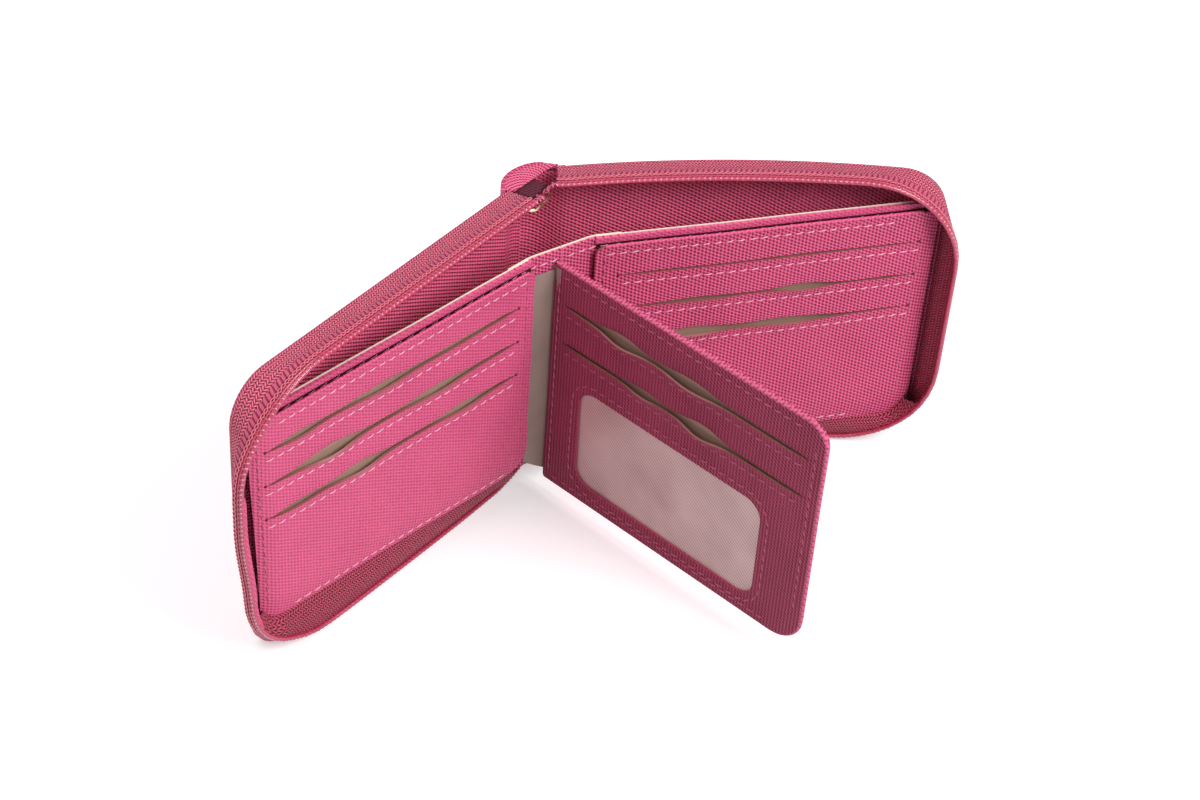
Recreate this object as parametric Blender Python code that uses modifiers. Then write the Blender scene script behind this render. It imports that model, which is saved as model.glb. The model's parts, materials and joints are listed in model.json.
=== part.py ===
"""Zip-around bifold wallet, standing open on its long edge. Metres, +Z up.

Two shallow trays, each a stiffened cover with a zipper tape wall, hinge at the
two creases of a soft spine. A card pocket is sewn to the outer end of each tray
and a folded strip joins the two pockets, so that the notes stand behind them. A
flap with card slots and a window turns on that strip.

Every leaf is modelled in its own frame: +X runs from its hinge to its outer
end, Z is up, and Y is its thickness. The empties carry the hinges.
"""
import math

import bmesh
import bpy
from mathutils import Vector

# Card slots, which the covers are cut to
SLOT_LENGTH = 0.092
COVER_MARGIN = 0.022

# Covers
COVER_LENGTH = SLOT_LENGTH + COVER_MARGIN
COVER_HEIGHT = 0.100
COVER_CORNER = 0.014
COVER_BOW = 0.0045
CLOTH = 0.0007
HEM_DEPTH = 0.0026
HEM_ROUND = 0.0015
BOARD = 0.0009
LINING = 0.0004
LAYER_GAP = 0.0003
CREASE_GAP = 0.0008

# Spine
SPINE_WIDTH = 0.0238
SPINE_BULGE = 0.007
SPINE_TURN = math.radians(13.0)
SPINE_TRIM = 0.0016

# Opening angles, counted from the closed wallet
LEFT_OPENING = math.radians(77.6)
RIGHT_OPENING = math.radians(52.64)

# Zipper tape and coil
TAPE = 0.0008
TAPE_ROOT = 0.0012
COIL_RADIUS = 0.00125
COIL_DEPTH = 0.0103
COIL_CORNER = 0.030
COIL_FLARE = 0.0045
COIL_LIFT = 0.0003
COIL_GROUND = 0.00025
COIL_SEAT = 0.0003
COIL_RUN = 0.0027
TAPE_LIP = 0.0012
TAPE_MIDDLE_SHARE = 0.5

# Card pockets
SLOT_THROAT = 0.00035
SLOT_BELLY = 0.0009
SLOT_HOLE = 0.0009
SLOT_SHARES = (0.8, 0.5, 0.2, -0.2, -0.5, -0.8)
SLOT_PITCH = 0.0123
POCKET_SLOTS = 3
POCKET_CLOTH = 0.0008
POCKET_LINER = 0.0004
SLIP_GAP = 0.0005
POCKET_DROP = 0.0097
POCKET_TOP = COVER_HEIGHT - POCKET_DROP
SLOT_DROP = 0.0113
SLOT_FIRST = POCKET_TOP - SLOT_DROP
DIVIDER_RISE = 0.002
POCKET_CORNER = 0.004
POCKET_SHOULDER = 0.014
POCKET_HEEL = 0.009
LINER_INSET = 0.0025

# Fold strip between the pockets
STRIP_GAP = 0.0004
FOLD_GAP = 0.0022

# Card flap
FLAP_SLOT_START = 0.0044
FLAP_MARGIN = 0.0059
FLAP_LENGTH = FLAP_SLOT_START + SLOT_LENGTH + FLAP_MARGIN
FLAP_LOW = 0.0048
FLAP_DROP = 0.0112
FLAP_TOP = COVER_HEIGHT - FLAP_DROP
FLAP_TOP_CORNER = 0.007
FLAP_LOW_CORNER = 0.010
FLAP_CLOTH = 0.0007
FLAP_ROOT = 0.0032
FLAP_EDGE = 0.0008
FLAP_STANDOFF = 0.0008
FLAP_OPENING = math.radians(104.2)
FLAP_SLOT_DROP = 0.0127
FLAP_SLOT_FIRST = FLAP_TOP - FLAP_SLOT_DROP
FLAP_SLOT_PITCH = 0.0136
FLAP_SLOTS = 2
WINDOW_START = 0.013
WINDOW_END = 0.0198
WINDOW_RISE = 0.0087
WINDOW_LOW = FLAP_LOW + WINDOW_RISE
WINDOW_DROP = 0.0388
WINDOW_TOP = FLAP_TOP - WINDOW_DROP
WINDOW_CORNER = 0.006
WINDOW_LAP = 0.0035
FILM = 0.0004
HINGE_CLOTH = 0.0004

# Slider, pull ring and zipper ends
SLIDER_LENGTH = 0.0075
SLIDER_MOUTH = 0.0064
SLIDER_TAIL = 0.0042
SLIDER_PLATE = 0.00055
SLIDER_CHANNEL = 0.0018
SLIDER_FLANGE = 0.0006
SLIDER_DROP = 0.00425
SLIDER_BASE = COVER_HEIGHT - SLIDER_DROP
SLIDER_ACROSS = -0.0028
SLIDER_BACK = 0.0006
SLIDER_TURN = math.radians(20.0)
POST_RADIUS = 0.0010
POST_STEPS = 7
BAIL_WIRE = 0.00035
BAIL_REACH = 0.0017
BAIL_DROP = 0.0022
RING_BACK = 0.0012
RING_LENGTH = 0.0118
RING_WIDTH = 0.0080
RING_BEND = 0.0024
RING_WIRE = 0.00055
RING_DROP = 0.00085
CORD_RADIUS = 0.00075
CORD_SPREAD = 0.0016
CORD_RISE = 0.0002
STOP_WIDTH = 0.0036
STOP_LENGTH = 0.0009

# Colours
PINK = (0.62, 0.10, 0.22)
DEEP_PINK = (0.42, 0.04, 0.13)
ROSE = (0.66, 0.16, 0.25)
CREAM = (0.76, 0.62, 0.50)
GREY_BOARD = (0.55, 0.53, 0.50)
FILM_WHITE = (0.86, 0.72, 0.70)
BRASS = (0.80, 0.60, 0.25)

WELD = 0.000003
ARC_STEPS = 6
SIDES = {"left": 1, "right": -1}
OPENINGS = {"left": LEFT_OPENING, "right": RIGHT_OPENING}
BOWS = {"left": 0.0, "right": COVER_BOW}
SEAM_INSET = {"left": 0.0, "right": 0.0021}
SEAM_DEPTH = {"left": 0.0079, "right": 0.0060}
POCKET_TILT = {"left": math.radians(7.88), "right": math.radians(11.5)}
POCKET_LOW = {"left": 0.0135, "right": 0.0100}
SLOT_MARGIN = {"left": 0.0056, "right": 0.0060}
POCKET_MARGIN = {"left": 0.0061, "right": 0.0075}
STRIP_SHARES = {"left": 0.49, "right": 0.51}
CORD_ACROSS = {"left": -0.0065, "right": 0.0048}
CORD_FORWARD = {"left": 0.0059, "right": 0.0079}


def clear_scene():
    for item in list(bpy.data.objects):
        bpy.data.objects.remove(item, do_unlink=True)


def material(name, colour, roughness, metallic=0.0):
    made = bpy.data.materials.new(name)
    made.use_nodes = True
    shader = made.node_tree.nodes["Principled BSDF"]
    shader.inputs["Base Color"].default_value = (*colour, 1.0)
    shader.inputs["Roughness"].default_value = roughness
    shader.inputs["Metallic"].default_value = metallic
    return made


def place(item, parent, location=(0, 0, 0), turn=0.0):
    """Hang an object or empty on a parent and add it to the wallet."""
    wallet.objects.link(item)
    item.parent = parent
    item.location = location
    item.rotation_euler.z = turn
    return item


def hinge(name, parent, location, turn):
    return place(bpy.data.objects.new(name, None), parent, location, turn)


def arc(centre_x, centre_y, radius, start, end, steps=ARC_STEPS):
    """Points along a round stretch, both ends included."""
    angles = [start + (end - start) * step / steps for step in range(steps + 1)]
    return [(centre_x + radius * math.cos(a), centre_y + radius * math.sin(a)) for a in angles]


def between(first, last, steps):
    return [first + (last - first) * step / steps for step in range(steps + 1)]


def rounded_outline(x_low, x_high, z_low, z_high, radii):
    """Closed outline with its own radius at each corner, from lower right, anticlockwise."""
    corners = [(x_high, z_low, -1, 1), (x_high, z_high, -1, -1),
               (x_low, z_high, 1, -1), (x_low, z_low, 1, 1)]
    points = []
    for turn, ((x, z, inward_x, inward_z), radius) in enumerate(zip(corners, radii)):
        start = math.pi * (turn - 1) / 2
        points += arc(x + inward_x * radius, z + inward_z * radius, radius,
                      start, start + math.pi / 2)
    return points


def slot_outline(start, length, height):
    """A card slot: a slit that gapes a little, with a punched hole at each end."""
    reach = length / 2 - SLOT_HOLE
    middle = start + length / 2
    turn = math.pi - math.asin(SLOT_THROAT / SLOT_HOLE)
    upper = [(middle + reach * share,
              height + SLOT_THROAT + (SLOT_BELLY - SLOT_THROAT) * (1 - share * share))
             for share in SLOT_SHARES]
    lower = [(middle * 2 - x, height * 2 - z) for x, z in upper]
    return (arc(middle + reach, height, SLOT_HOLE, -turn, turn)
            + upper + arc(middle - reach, height, SLOT_HOLE, math.pi - turn, math.pi + turn)
            + lower)


def plate(name, parent, outlines, front, thickness, outward, skin):
    """A flat piece with holes; front and thickness are counted against the outward side."""
    curve = bpy.data.curves.new(name, "CURVE")
    curve.dimensions = "2D"
    curve.fill_mode = "BOTH"
    curve.extrude = thickness / 2
    for outline in outlines:
        spline = curve.splines.new("POLY")
        spline.points.add(len(outline) - 1)
        for point, (x, z) in zip(spline.points, outline):
            point.co = (x, z, 0, 1)
        spline.use_cyclic_u = True
    curve.materials.append(skin)
    item = bpy.data.objects.new(name, curve)
    place(item, parent, (0, outward * (front + thickness / 2), 0))
    item.rotation_euler.x = math.pi / 2
    return item


def tube(name, parent, points, radius, skin, cyclic=False):
    curve = bpy.data.curves.new(name, "CURVE")
    curve.dimensions = "3D"
    curve.bevel_depth = radius
    curve.bevel_resolution = 2
    curve.use_fill_caps = not cyclic
    spline = curve.splines.new("POLY")
    spline.points.add(len(points) - 1)
    for point, place_at in zip(spline.points, points):
        point.co = (*place_at, 1)
    spline.use_cyclic_u = cyclic
    curve.materials.append(skin)
    return place(bpy.data.objects.new(name, curve), parent)


def cloth(name, parent, rows, thickness, facing, skin, closed_face=False):
    """A cloth of rows of points; its last face looks to facing and it thickens away from it."""
    mesh = bpy.data.meshes.new(name)
    shape = bmesh.new()
    grid = [[shape.verts.new(point) for point in row] for row in rows]
    for row, following in zip(grid, grid[1:]):
        for step in range(len(row) - 1):
            shape.faces.new((row[step], row[step + 1], following[step + 1], following[step]))
    if closed_face:
        edge = grid[0]
        for step in range(len(edge) // 2 - 1):
            shape.faces.new((edge[step], edge[-1 - step], edge[-2 - step], edge[step + 1]))
    bmesh.ops.recalc_face_normals(shape, faces=shape.faces)
    shape.normal_update()
    shape.faces.ensure_lookup_table()
    if shape.faces[-1].normal.dot(Vector(facing)) < 0:
        bmesh.ops.reverse_faces(shape, faces=shape.faces)
    shape.to_mesh(mesh)
    shape.free()
    mesh.materials.append(skin)
    item = place(bpy.data.objects.new(name, mesh), parent)
    shell = item.modifiers.new("thickness", "SOLIDIFY")
    shell.thickness = thickness
    shell.offset = -1
    shell.use_even_offset = True
    return item


def rim_path(length, z_low, z_high, radius, start=CREASE_GAP):
    """The three outer sides of a cover, from the crease along the top and back below."""
    straight = between(start, length - radius, ARC_STEPS)[:-1]
    path = [(x, z_high) for x in straight]
    path += arc(length - radius, z_high - radius, radius, math.pi / 2, 0)
    path += arc(length - radius, z_low + radius, radius, 0, -math.pi / 2)
    path += [(x, z_low) for x in reversed(straight)]
    return path


def inset_path(inset):
    return rim_path(COVER_LENGTH - inset, inset, COVER_HEIGHT - inset, COVER_CORNER - inset)


def bowed(side, path, depth):
    """Lift a path off the cover's outer face by depth, and bow it with its cover."""
    points = []
    for x, z in path:
        share = min(max(x / COVER_LENGTH, 0), 1)
        bow = BOWS[side] * 4 * share * (1 - share)
        points.append((x, SIDES[side] * (depth - bow), z))
    return points


def build_cover(side, shell):
    """Outer cloth turned round its edge, a stiffener board and the lining."""
    hem = [(HEM_ROUND * (1 - math.sin(turn)), HEM_ROUND * (1 - math.cos(turn)))
           for turn in (0, math.pi / 4, math.pi / 2)] + [(0, HEM_DEPTH)]
    outer_side = (0, -SIDES[side], 0)
    rows = [bowed(side, inset_path(inset), depth) for inset, depth in hem]
    cloth("cover_" + side, shell, rows, CLOTH, outer_side, skins["cloth"], True)
    inner = CLOTH + 2 * LAYER_GAP + TAPE
    board_depth = CLOTH + LAYER_GAP
    lining_depth = board_depth + BOARD + LAYER_GAP
    for name, depth, thickness, skin in (("board_", board_depth, BOARD, "board"),
                                         ("lining_", lining_depth, LINING, "cloth")):
        rows = [bowed(side, inset_path(inner), depth)]
        cloth(name + side, shell, rows, thickness, outer_side, skins[skin], True)


def tape_path(share):
    """The tape's outline, from the cover's edge at share 0 to the coil at share 1."""
    inset = CLOTH + LAYER_GAP
    length = COVER_LENGTH - inset + (COIL_FLARE + inset) * share
    coil_top = COVER_HEIGHT + COIL_LIFT + TAPE / 2
    coil_low = COIL_GROUND + COIL_RADIUS - TAPE / 2
    z_high = COVER_HEIGHT - inset + (coil_top - COVER_HEIGHT + inset) * share
    z_low = inset + (coil_low - inset) * share
    radius = COVER_CORNER - inset + (COIL_CORNER - COVER_CORNER + inset) * share
    return rim_path(length, z_low, z_high, radius)


def build_zipper(side, shell):
    """The tape wall from the hem to the coil, and the coil along its free edge."""
    tape_end = COIL_DEPTH - COIL_RADIUS - COIL_SEAT
    hem_end = HEM_DEPTH + LAYER_GAP
    lip = tape_end - TAPE_LIP
    middle = hem_end + (lip - hem_end) * TAPE_MIDDLE_SHARE
    stations = [(0, TAPE_ROOT), (0, hem_end), (TAPE_MIDDLE_SHARE, middle), (1, lip), (1, tape_end)]
    rows = [bowed(side, tape_path(share), depth) for share, depth in stations]
    cloth("zip_tape_" + side, shell, rows, TAPE, (0, 0, -1), skins["tape"])
    line = rim_path(COVER_LENGTH + COIL_FLARE - TAPE / 2, COIL_GROUND + COIL_RADIUS,
                    COVER_HEIGHT + COIL_LIFT, COIL_CORNER - TAPE / 2, -COIL_RUN)
    tube("zip_coil_" + side, shell, bowed(side, line, COIL_DEPTH), COIL_RADIUS, skins["coil"])


def pocket_length(side):
    return SLOT_MARGIN[side] + SLOT_LENGTH + POCKET_MARGIN[side]


def pocket_outline(side, inset, top):
    low = POCKET_LOW[side] + inset
    radii = (POCKET_SHOULDER, POCKET_SHOULDER, POCKET_CORNER, POCKET_HEEL)
    return rounded_outline(inset - pocket_length(side), -inset, low, top - inset, radii)


def build_pocket(side, pocket):
    """Front with three card slots, a smooth liner and the divider behind them."""
    behind = -SIDES[side]
    slots = [slot_outline(-SLOT_MARGIN[side] - SLOT_LENGTH, SLOT_LENGTH,
                          SLOT_FIRST - row * SLOT_PITCH) for row in range(POCKET_SLOTS)]
    plate("card_front_" + side, pocket, [pocket_outline(side, 0, POCKET_TOP)] + slots,
          0, POCKET_CLOTH, behind, skins["cloth"])
    plate("card_liner_" + side, pocket, [pocket_outline(side, LINER_INSET, POCKET_TOP)],
          POCKET_CLOTH + LAYER_GAP, POCKET_LINER, behind, skins["satin"])
    plate("divider_" + side, pocket, [pocket_outline(side, 0, POCKET_TOP + DIVIDER_RISE)],
          divider_front(), CLOTH, behind, skins["cloth"])


def divider_front():
    return POCKET_CLOTH + LAYER_GAP + POCKET_LINER + SLIP_GAP


def ahead(angle, reach, aside):
    """A step of reach along a heading and aside to its left."""
    return Vector((math.cos(angle) * reach - math.sin(angle) * aside,
                   math.sin(angle) * reach + math.cos(angle) * aside))


def strip_root(side):
    """Where the strip leaves a pocket's inner end, in the spine's frame, and the pocket's heading."""
    sign = SIDES[side]
    heading = shell_heading(side)
    root = Vector((-sign * SPINE_WIDTH / 2, 0))
    root += ahead(heading, COVER_LENGTH - SEAM_INSET[side], sign * SEAM_DEPTH[side])
    heading -= sign * POCKET_TILT[side]
    behind = divider_front() + CLOTH / 2
    root += ahead(heading, -pocket_length(side) - STRIP_GAP, -sign * behind)
    return root, heading


def shell_heading(side):
    return -math.pi / 2 - SIDES[side] * OPENINGS[side]


def strip_span(side):
    """Turn of the strip's half from its pocket, and its width, so that the halves meet."""
    root, heading = strip_root(side)
    other = "right" if side == "left" else "left"
    reach = root - strip_root(other)[0]
    turn = math.remainder(math.atan2(reach.y, reach.x) - heading, math.tau)
    return turn, STRIP_SHARES[side] * reach.length - FOLD_GAP / 2


def build_strip(side, strip, width):
    """Half of the folded strip that joins the two dividers."""
    outline = rounded_outline(-width, -STRIP_GAP, POCKET_LOW[side],
                              POCKET_TOP + DIVIDER_RISE, (STRIP_GAP,) * 4)
    plate("divider_fold_" + side, strip, [outline], -CLOTH / 2, CLOTH, 1, skins["cloth"])


def flap_outline(start, inset):
    radii = (FLAP_LOW_CORNER - inset, FLAP_TOP_CORNER - inset, HINGE_CLOTH, HINGE_CLOTH)
    return rounded_outline(start, FLAP_LENGTH - inset, FLAP_LOW + inset, FLAP_TOP - inset, radii)


def build_flap(flap):
    """Front with two card slots and a window, film and liner behind, and the back."""
    core = max(FILM, POCKET_LINER, HINGE_CLOTH)
    face = core / 2 + LAYER_GAP
    slots = [slot_outline(FLAP_SLOT_START, SLOT_LENGTH, FLAP_SLOT_FIRST - row * FLAP_SLOT_PITCH)
             for row in range(FLAP_SLOTS)]
    window_end = FLAP_LENGTH - WINDOW_END
    window = rounded_outline(WINDOW_START, window_end, WINDOW_LOW, WINDOW_TOP,
                             (WINDOW_CORNER,) * 4)
    plate("flap_front", flap, [flap_outline(FLAP_ROOT, 0), window] + slots,
          face, FLAP_CLOTH, -1, skins["deep"])
    plate("flap_back", flap, [flap_outline(FLAP_ROOT, 0)], face, FLAP_CLOTH, 1, skins["cloth"])
    film = rounded_outline(WINDOW_START - WINDOW_LAP, window_end + WINDOW_LAP,
                           WINDOW_LOW - WINDOW_LAP, WINDOW_TOP + WINDOW_LAP, (WINDOW_CORNER,) * 4)
    plate("id_window", flap, [film], -FILM / 2, FILM, 1, skins["film"])
    liner_low = WINDOW_TOP + WINDOW_LAP + LAYER_GAP
    liner = rounded_outline(FLAP_ROOT + 2 * LAYER_GAP, FLAP_LENGTH - LINER_INSET, liner_low,
                            FLAP_TOP - LINER_INSET,
                            (HINGE_CLOTH, FLAP_TOP_CORNER - LINER_INSET, HINGE_CLOTH, HINGE_CLOTH))
    plate("flap_liner", flap, [liner], -POCKET_LINER / 2, POCKET_LINER, 1, skins["satin"])
    strip = rounded_outline(HINGE_CLOTH, FLAP_ROOT, FLAP_LOW + POCKET_CORNER,
                            FLAP_TOP - POCKET_CORNER, (HINGE_CLOTH,) * 4)
    plate("flap_hinge_strip", flap, [strip], -HINGE_CLOTH / 2, HINGE_CLOTH, 1, skins["satin"])


def bulge_arc(inset, trim):
    """The spine's plan curve, drawn in by inset, with trim cut from each end."""
    half = SPINE_WIDTH / 2
    radius = (half * half + SPINE_BULGE * SPINE_BULGE) / (2 * SPINE_BULGE)
    sweep = math.asin(half / radius) - trim / radius
    return arc(0, SPINE_BULGE - radius, radius - inset, math.pi / 2 + sweep,
               math.pi / 2 - sweep, 2 * ARC_STEPS)


def build_spine(spine):
    """Outer cloth and lining of the spine, bulged outwards between the two creases."""
    for name, inset, trim, low, thickness in (
            ("spine_cover", 0, 0, 0, CLOTH),
            ("spine_lining", CLOTH + LAYER_GAP, SPINE_TRIM, LAYER_GAP, LINING)):
        rows = [[(x, y, z) for x, y in bulge_arc(inset, trim)]
                for z in (low, COVER_HEIGHT - low)]
        cloth(name, spine, rows, thickness, (1, 1, 0), skins["cloth"])


def joined(name, pieces):
    """Unite overlapping solids into one object."""
    base = pieces[0]
    for piece in pieces[1:]:
        union = base.modifiers.new("union", "BOOLEAN")
        union.operation = "UNION"
        union.object = piece
        union.solver = "EXACT"
        wallet.objects.unlink(piece)
        cutters.objects.link(piece)
        piece.hide_render = True
        piece.display_type = "WIRE"
    base.name = name
    return base


def as_mesh(item):
    """Replace a curve object by the closed mesh of its evaluated shape."""
    bpy.context.view_layer.update()
    seen = item.evaluated_get(bpy.context.evaluated_depsgraph_get())
    mesh = bpy.data.meshes.new_from_object(seen)
    shape = bmesh.new()
    shape.from_mesh(mesh)
    bmesh.ops.remove_doubles(shape, verts=shape.verts, dist=WELD)
    bmesh.ops.recalc_face_normals(shape, faces=shape.faces)
    shape.to_mesh(mesh)
    shape.free()
    made = bpy.data.objects.new(item.name + "_mesh", mesh)
    wallet.objects.link(made)
    made.parent = item.parent
    made.location = item.location
    made.rotation_euler = item.rotation_euler
    bpy.data.objects.remove(item, do_unlink=True)
    return made


def level_plate(name, parent, outline, low, thickness, skin):
    """A plate that lies level, from low upwards."""
    item = plate(name, parent, [outline], 0, thickness, 1, skin)
    item.location = (0, 0, low + thickness / 2)
    item.rotation_euler.x = 0
    return as_mesh(item)


def build_slider(block):
    """Die-cast slider: two plates, side flanges, the post between its mouths and a bail."""
    mouth, tail, half = SLIDER_MOUTH / 2, SLIDER_TAIL / 2, SLIDER_LENGTH / 2
    shield = [(-tail, half), (-mouth, 0), (-mouth, -half), (mouth, -half), (mouth, 0), (tail, half)]
    overlap = SLIDER_PLATE / 2
    pieces = [level_plate("slider_plate", block, shield, low, SLIDER_PLATE, skins["metal"])
              for low in (SLIDER_BASE, SLIDER_BASE + SLIDER_PLATE + SLIDER_CHANNEL)]
    wall_low = SLIDER_BASE + overlap
    wall_rise = SLIDER_CHANNEL + SLIDER_PLATE
    for way in (-1, 1):
        rim = [(tail - overlap / 2, half - overlap / 2), (mouth - overlap / 2, 0),
               (mouth - overlap / 2, overlap / 2 - half), (mouth - SLIDER_FLANGE, overlap / 2 - half),
               (mouth - SLIDER_FLANGE, 0), (tail - SLIDER_FLANGE, half - overlap / 2)]
        pieces.append(level_plate("slider_flange", block, [(way * x, y) for x, y in rim],
                                  wall_low, wall_rise, skins["metal"]))
    post_turn = math.tau * POST_STEPS / (POST_STEPS + 1)
    post = arc(0, 2 * POST_RADIUS - half, POST_RADIUS, 0, post_turn, POST_STEPS)
    pieces.append(level_plate("slider_post", block, post, wall_low, wall_rise, skins["metal"]))
    turns = between(0, math.pi, ARC_STEPS)
    bail = [(0, RING_BACK + BAIL_REACH * math.cos(turn), wall_low - BAIL_DROP * math.sin(turn))
            for turn in turns]
    pieces.append(as_mesh(tube("slider_bail", block, bail, BAIL_WIRE, skins["metal"])))
    joined("zip_slider", pieces)


def build_ring(block):
    """A rounded wire ring, hinged on its far side inside the bail, under the slider."""
    swing = hinge("ring_pivot", block, (0, RING_BACK, SLIDER_BASE - RING_DROP), -math.pi / 2)
    far = RING_WIDTH - 2 * RING_WIRE
    half = RING_LENGTH / 2 - RING_WIRE
    outline = rounded_outline(0, far, -half, half, (RING_BEND,) * 4)
    tube("pull_ring", swing, [(x, y, 0) for x, y in outline], RING_WIRE, skins["metal"], True)


def build_zip_ends(block):
    """The coils' first runs, out of the slider's mouths, and the stop behind it."""
    middle = SLIDER_BASE + SLIDER_PLATE + SLIDER_CHANNEL / 2
    mouth_y = -SLIDER_LENGTH / 2 - LAYER_GAP
    for side, sign in SIDES.items():
        mouth_x = -sign * CORD_SPREAD
        run = []
        for share in between(0, 1, ARC_STEPS):
            ease = share * share
            run.append((mouth_x + (CORD_ACROSS[side] - mouth_x) * ease,
                        mouth_y - (CORD_FORWARD[side] + mouth_y) * share,
                        middle + CORD_RISE * share))
        tube("zip_end_" + side, block, run, CORD_RADIUS, skins["coil"])
    near = SLIDER_LENGTH / 2 + LAYER_GAP
    half = STOP_WIDTH / 2
    stop = [(-half, near), (half, near), (half, near + STOP_LENGTH), (-half, near + STOP_LENGTH)]
    item = plate("zip_tape_tail", block, [stop], 0, TAPE, 1, skins["tape"])
    item.location = (0, 0, middle)
    item.rotation_euler.x = 0


def build_wallet():
    root = hinge("wallet_root", None, (0, 0, 0), SPINE_TURN)
    build_spine(root)
    block = hinge("slider_seat", root, (SLIDER_ACROSS, -SLIDER_BACK, 0), SLIDER_TURN)
    build_slider(block)
    build_ring(block)
    build_zip_ends(block)
    for side, sign in SIDES.items():
        shell = hinge("fold_" + side, root, (-sign * SPINE_WIDTH / 2, 0, 0), shell_heading(side))
        build_cover(side, shell)
        build_zipper(side, shell)
        seam = (COVER_LENGTH - SEAM_INSET[side], sign * SEAM_DEPTH[side], 0)
        pocket = hinge("seam_" + side, shell, seam, -sign * POCKET_TILT[side])
        build_pocket(side, pocket)
        behind = divider_front() + CLOTH / 2
        turn, width = strip_span(side)
        strip = hinge("strip_" + side, pocket, (-pocket_length(side) - STRIP_GAP, -sign * behind, 0),
                      turn)
        build_strip(side, strip, width)
        if side == "left":
            flap = hinge("flap_pivot", strip, (FLAP_EDGE - width, FLAP_STANDOFF, 0), FLAP_OPENING)
            build_flap(flap)
    return root


def stand_on_origin(root):
    """Move the wallet so that its box stands with its bottom centre on the origin."""
    bpy.context.view_layer.update()
    seen = bpy.context.evaluated_depsgraph_get()
    corners = []
    for item in wallet.objects:
        if item.type in {"MESH", "CURVE"}:
            solid = item.evaluated_get(seen)
            corners += [item.matrix_world @ vertex.co for vertex in solid.to_mesh().vertices]
            solid.to_mesh_clear()
    low = [min(corner[axis] for corner in corners) for axis in range(3)]
    high = [max(corner[axis] for corner in corners) for axis in range(3)]
    root.location = (-(low[0] + high[0]) / 2, -(low[1] + high[1]) / 2, -low[2])
    bpy.context.view_layer.update()


clear_scene()
wallet = bpy.data.collections.new("zip_wallet")
cutters = bpy.data.collections.new("zip_wallet_cutters")
bpy.context.scene.collection.children.link(wallet)
bpy.context.scene.collection.children.link(cutters)
skins = {
    "cloth": material("woven_pink", PINK, 0.75),
    "deep": material("woven_deep_pink", DEEP_PINK, 0.75),
    "tape": material("zip_tape_rose", ROSE, 0.8),
    "coil": material("nylon_coil", PINK, 0.4),
    "satin": material("cream_satin", CREAM, 0.5),
    "board": material("stiffener_board", GREY_BOARD, 0.9),
    "film": material("window_film", FILM_WHITE, 0.3),
    "metal": material("pale_brass", BRASS, 0.3, 1.0),
}
stand_on_origin(build_wallet())
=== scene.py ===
"""Looks of the open zip-around wallet: woven cloth, zipper, stitching, studio and camera.

Sizes are millimetres in each leaf's own frame, and become metres in Leaf.at.
"""
import json
import math
import random

import bmesh
import bpy
from mathutils import Matrix, Vector, noise


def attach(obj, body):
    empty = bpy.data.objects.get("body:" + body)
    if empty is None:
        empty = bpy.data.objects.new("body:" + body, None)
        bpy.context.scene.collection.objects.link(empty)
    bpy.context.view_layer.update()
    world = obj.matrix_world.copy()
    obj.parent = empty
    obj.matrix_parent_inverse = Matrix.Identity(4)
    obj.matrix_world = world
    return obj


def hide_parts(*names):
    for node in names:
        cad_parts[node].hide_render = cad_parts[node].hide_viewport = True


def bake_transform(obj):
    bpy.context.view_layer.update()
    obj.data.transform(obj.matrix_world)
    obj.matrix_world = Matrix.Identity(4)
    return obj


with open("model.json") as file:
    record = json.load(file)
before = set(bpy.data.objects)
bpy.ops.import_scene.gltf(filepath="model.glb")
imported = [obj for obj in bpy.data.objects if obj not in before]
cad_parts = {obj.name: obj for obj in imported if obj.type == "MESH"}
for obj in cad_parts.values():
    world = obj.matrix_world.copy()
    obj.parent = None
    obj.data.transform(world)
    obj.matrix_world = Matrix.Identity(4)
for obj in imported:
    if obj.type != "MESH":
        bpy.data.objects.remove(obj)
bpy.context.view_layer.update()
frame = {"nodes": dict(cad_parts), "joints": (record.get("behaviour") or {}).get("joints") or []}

MM = 0.001
UP = Vector((0, 0, 1))
UV_NAME = "weave"

# Leaves
LENGTH = 114.0
HEIGHT = 100.0
CORNER = 14.0
BOW = {"left": 0.0, "right": 4.5}
HEEL = {"left": -6.0, "right": 0.0}
SETTLE = {"left": 1.0, "right": 0.0}
HAND = {"left": 1, "right": -1}
CREASE = 12.0
SPINE_BULGE = 7.0
HEADINGS = {"spine": 13.0, "fold_left": -154.6, "fold_right": -24.36, "seam_left": -162.48,
            "seam_right": -12.86, "strip_left": -174.415, "strip_right": 5.585, "flap": -70.215}

# Camera
EYE = (-0.290365, -0.486358, 0.55115)
YAW = math.radians(59.68)
PITCH = math.radians(-40.92)
ROLL = math.radians(4.45)
LENS = 79.07


def joint_place(name):
    for joint in frame["joints"]:
        if joint["name"] == name:
            return Vector(joint["pos_m"]) / MM
    raise ValueError(name)


class Leaf:
    """A leaf's own frame: x along it, out towards the side that faces the viewer, z up."""

    def __init__(self, origin, heading, hand):
        self.origin = Vector((origin[0], origin[1], 0))
        turn = math.radians(heading)
        self.along = Vector((math.cos(turn), math.sin(turn), 0))
        self.out = Vector((-self.along.y, self.along.x, 0)) * hand

    def at(self, x, out, z):
        return (self.origin + self.along * x + self.out * out + UP * z) * MM


leaves = {}
for side_name, hand_sign in HAND.items():
    for part, joint_name in (("fold_", side_name + "_fold"), ("seam_", side_name + "_seam"),
                             ("strip_", side_name + "_strip_fold")):
        leaves[part + side_name] = Leaf(joint_place(joint_name), HEADINGS[part + side_name], hand_sign)
leaves["flap"] = Leaf(joint_place("flap_fold"), HEADINGS["flap"], -1)
spine_middle = (joint_place("left_fold") + joint_place("right_fold")) / 2
leaves["spine"] = Leaf(spine_middle, HEADINGS["spine"], 1)


# Shapes of curves
def clamp(share):
    return min(max(share, 0), 1)


def ease(share):
    share = clamp(share)
    return share * share * (3 - 2 * share)


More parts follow.
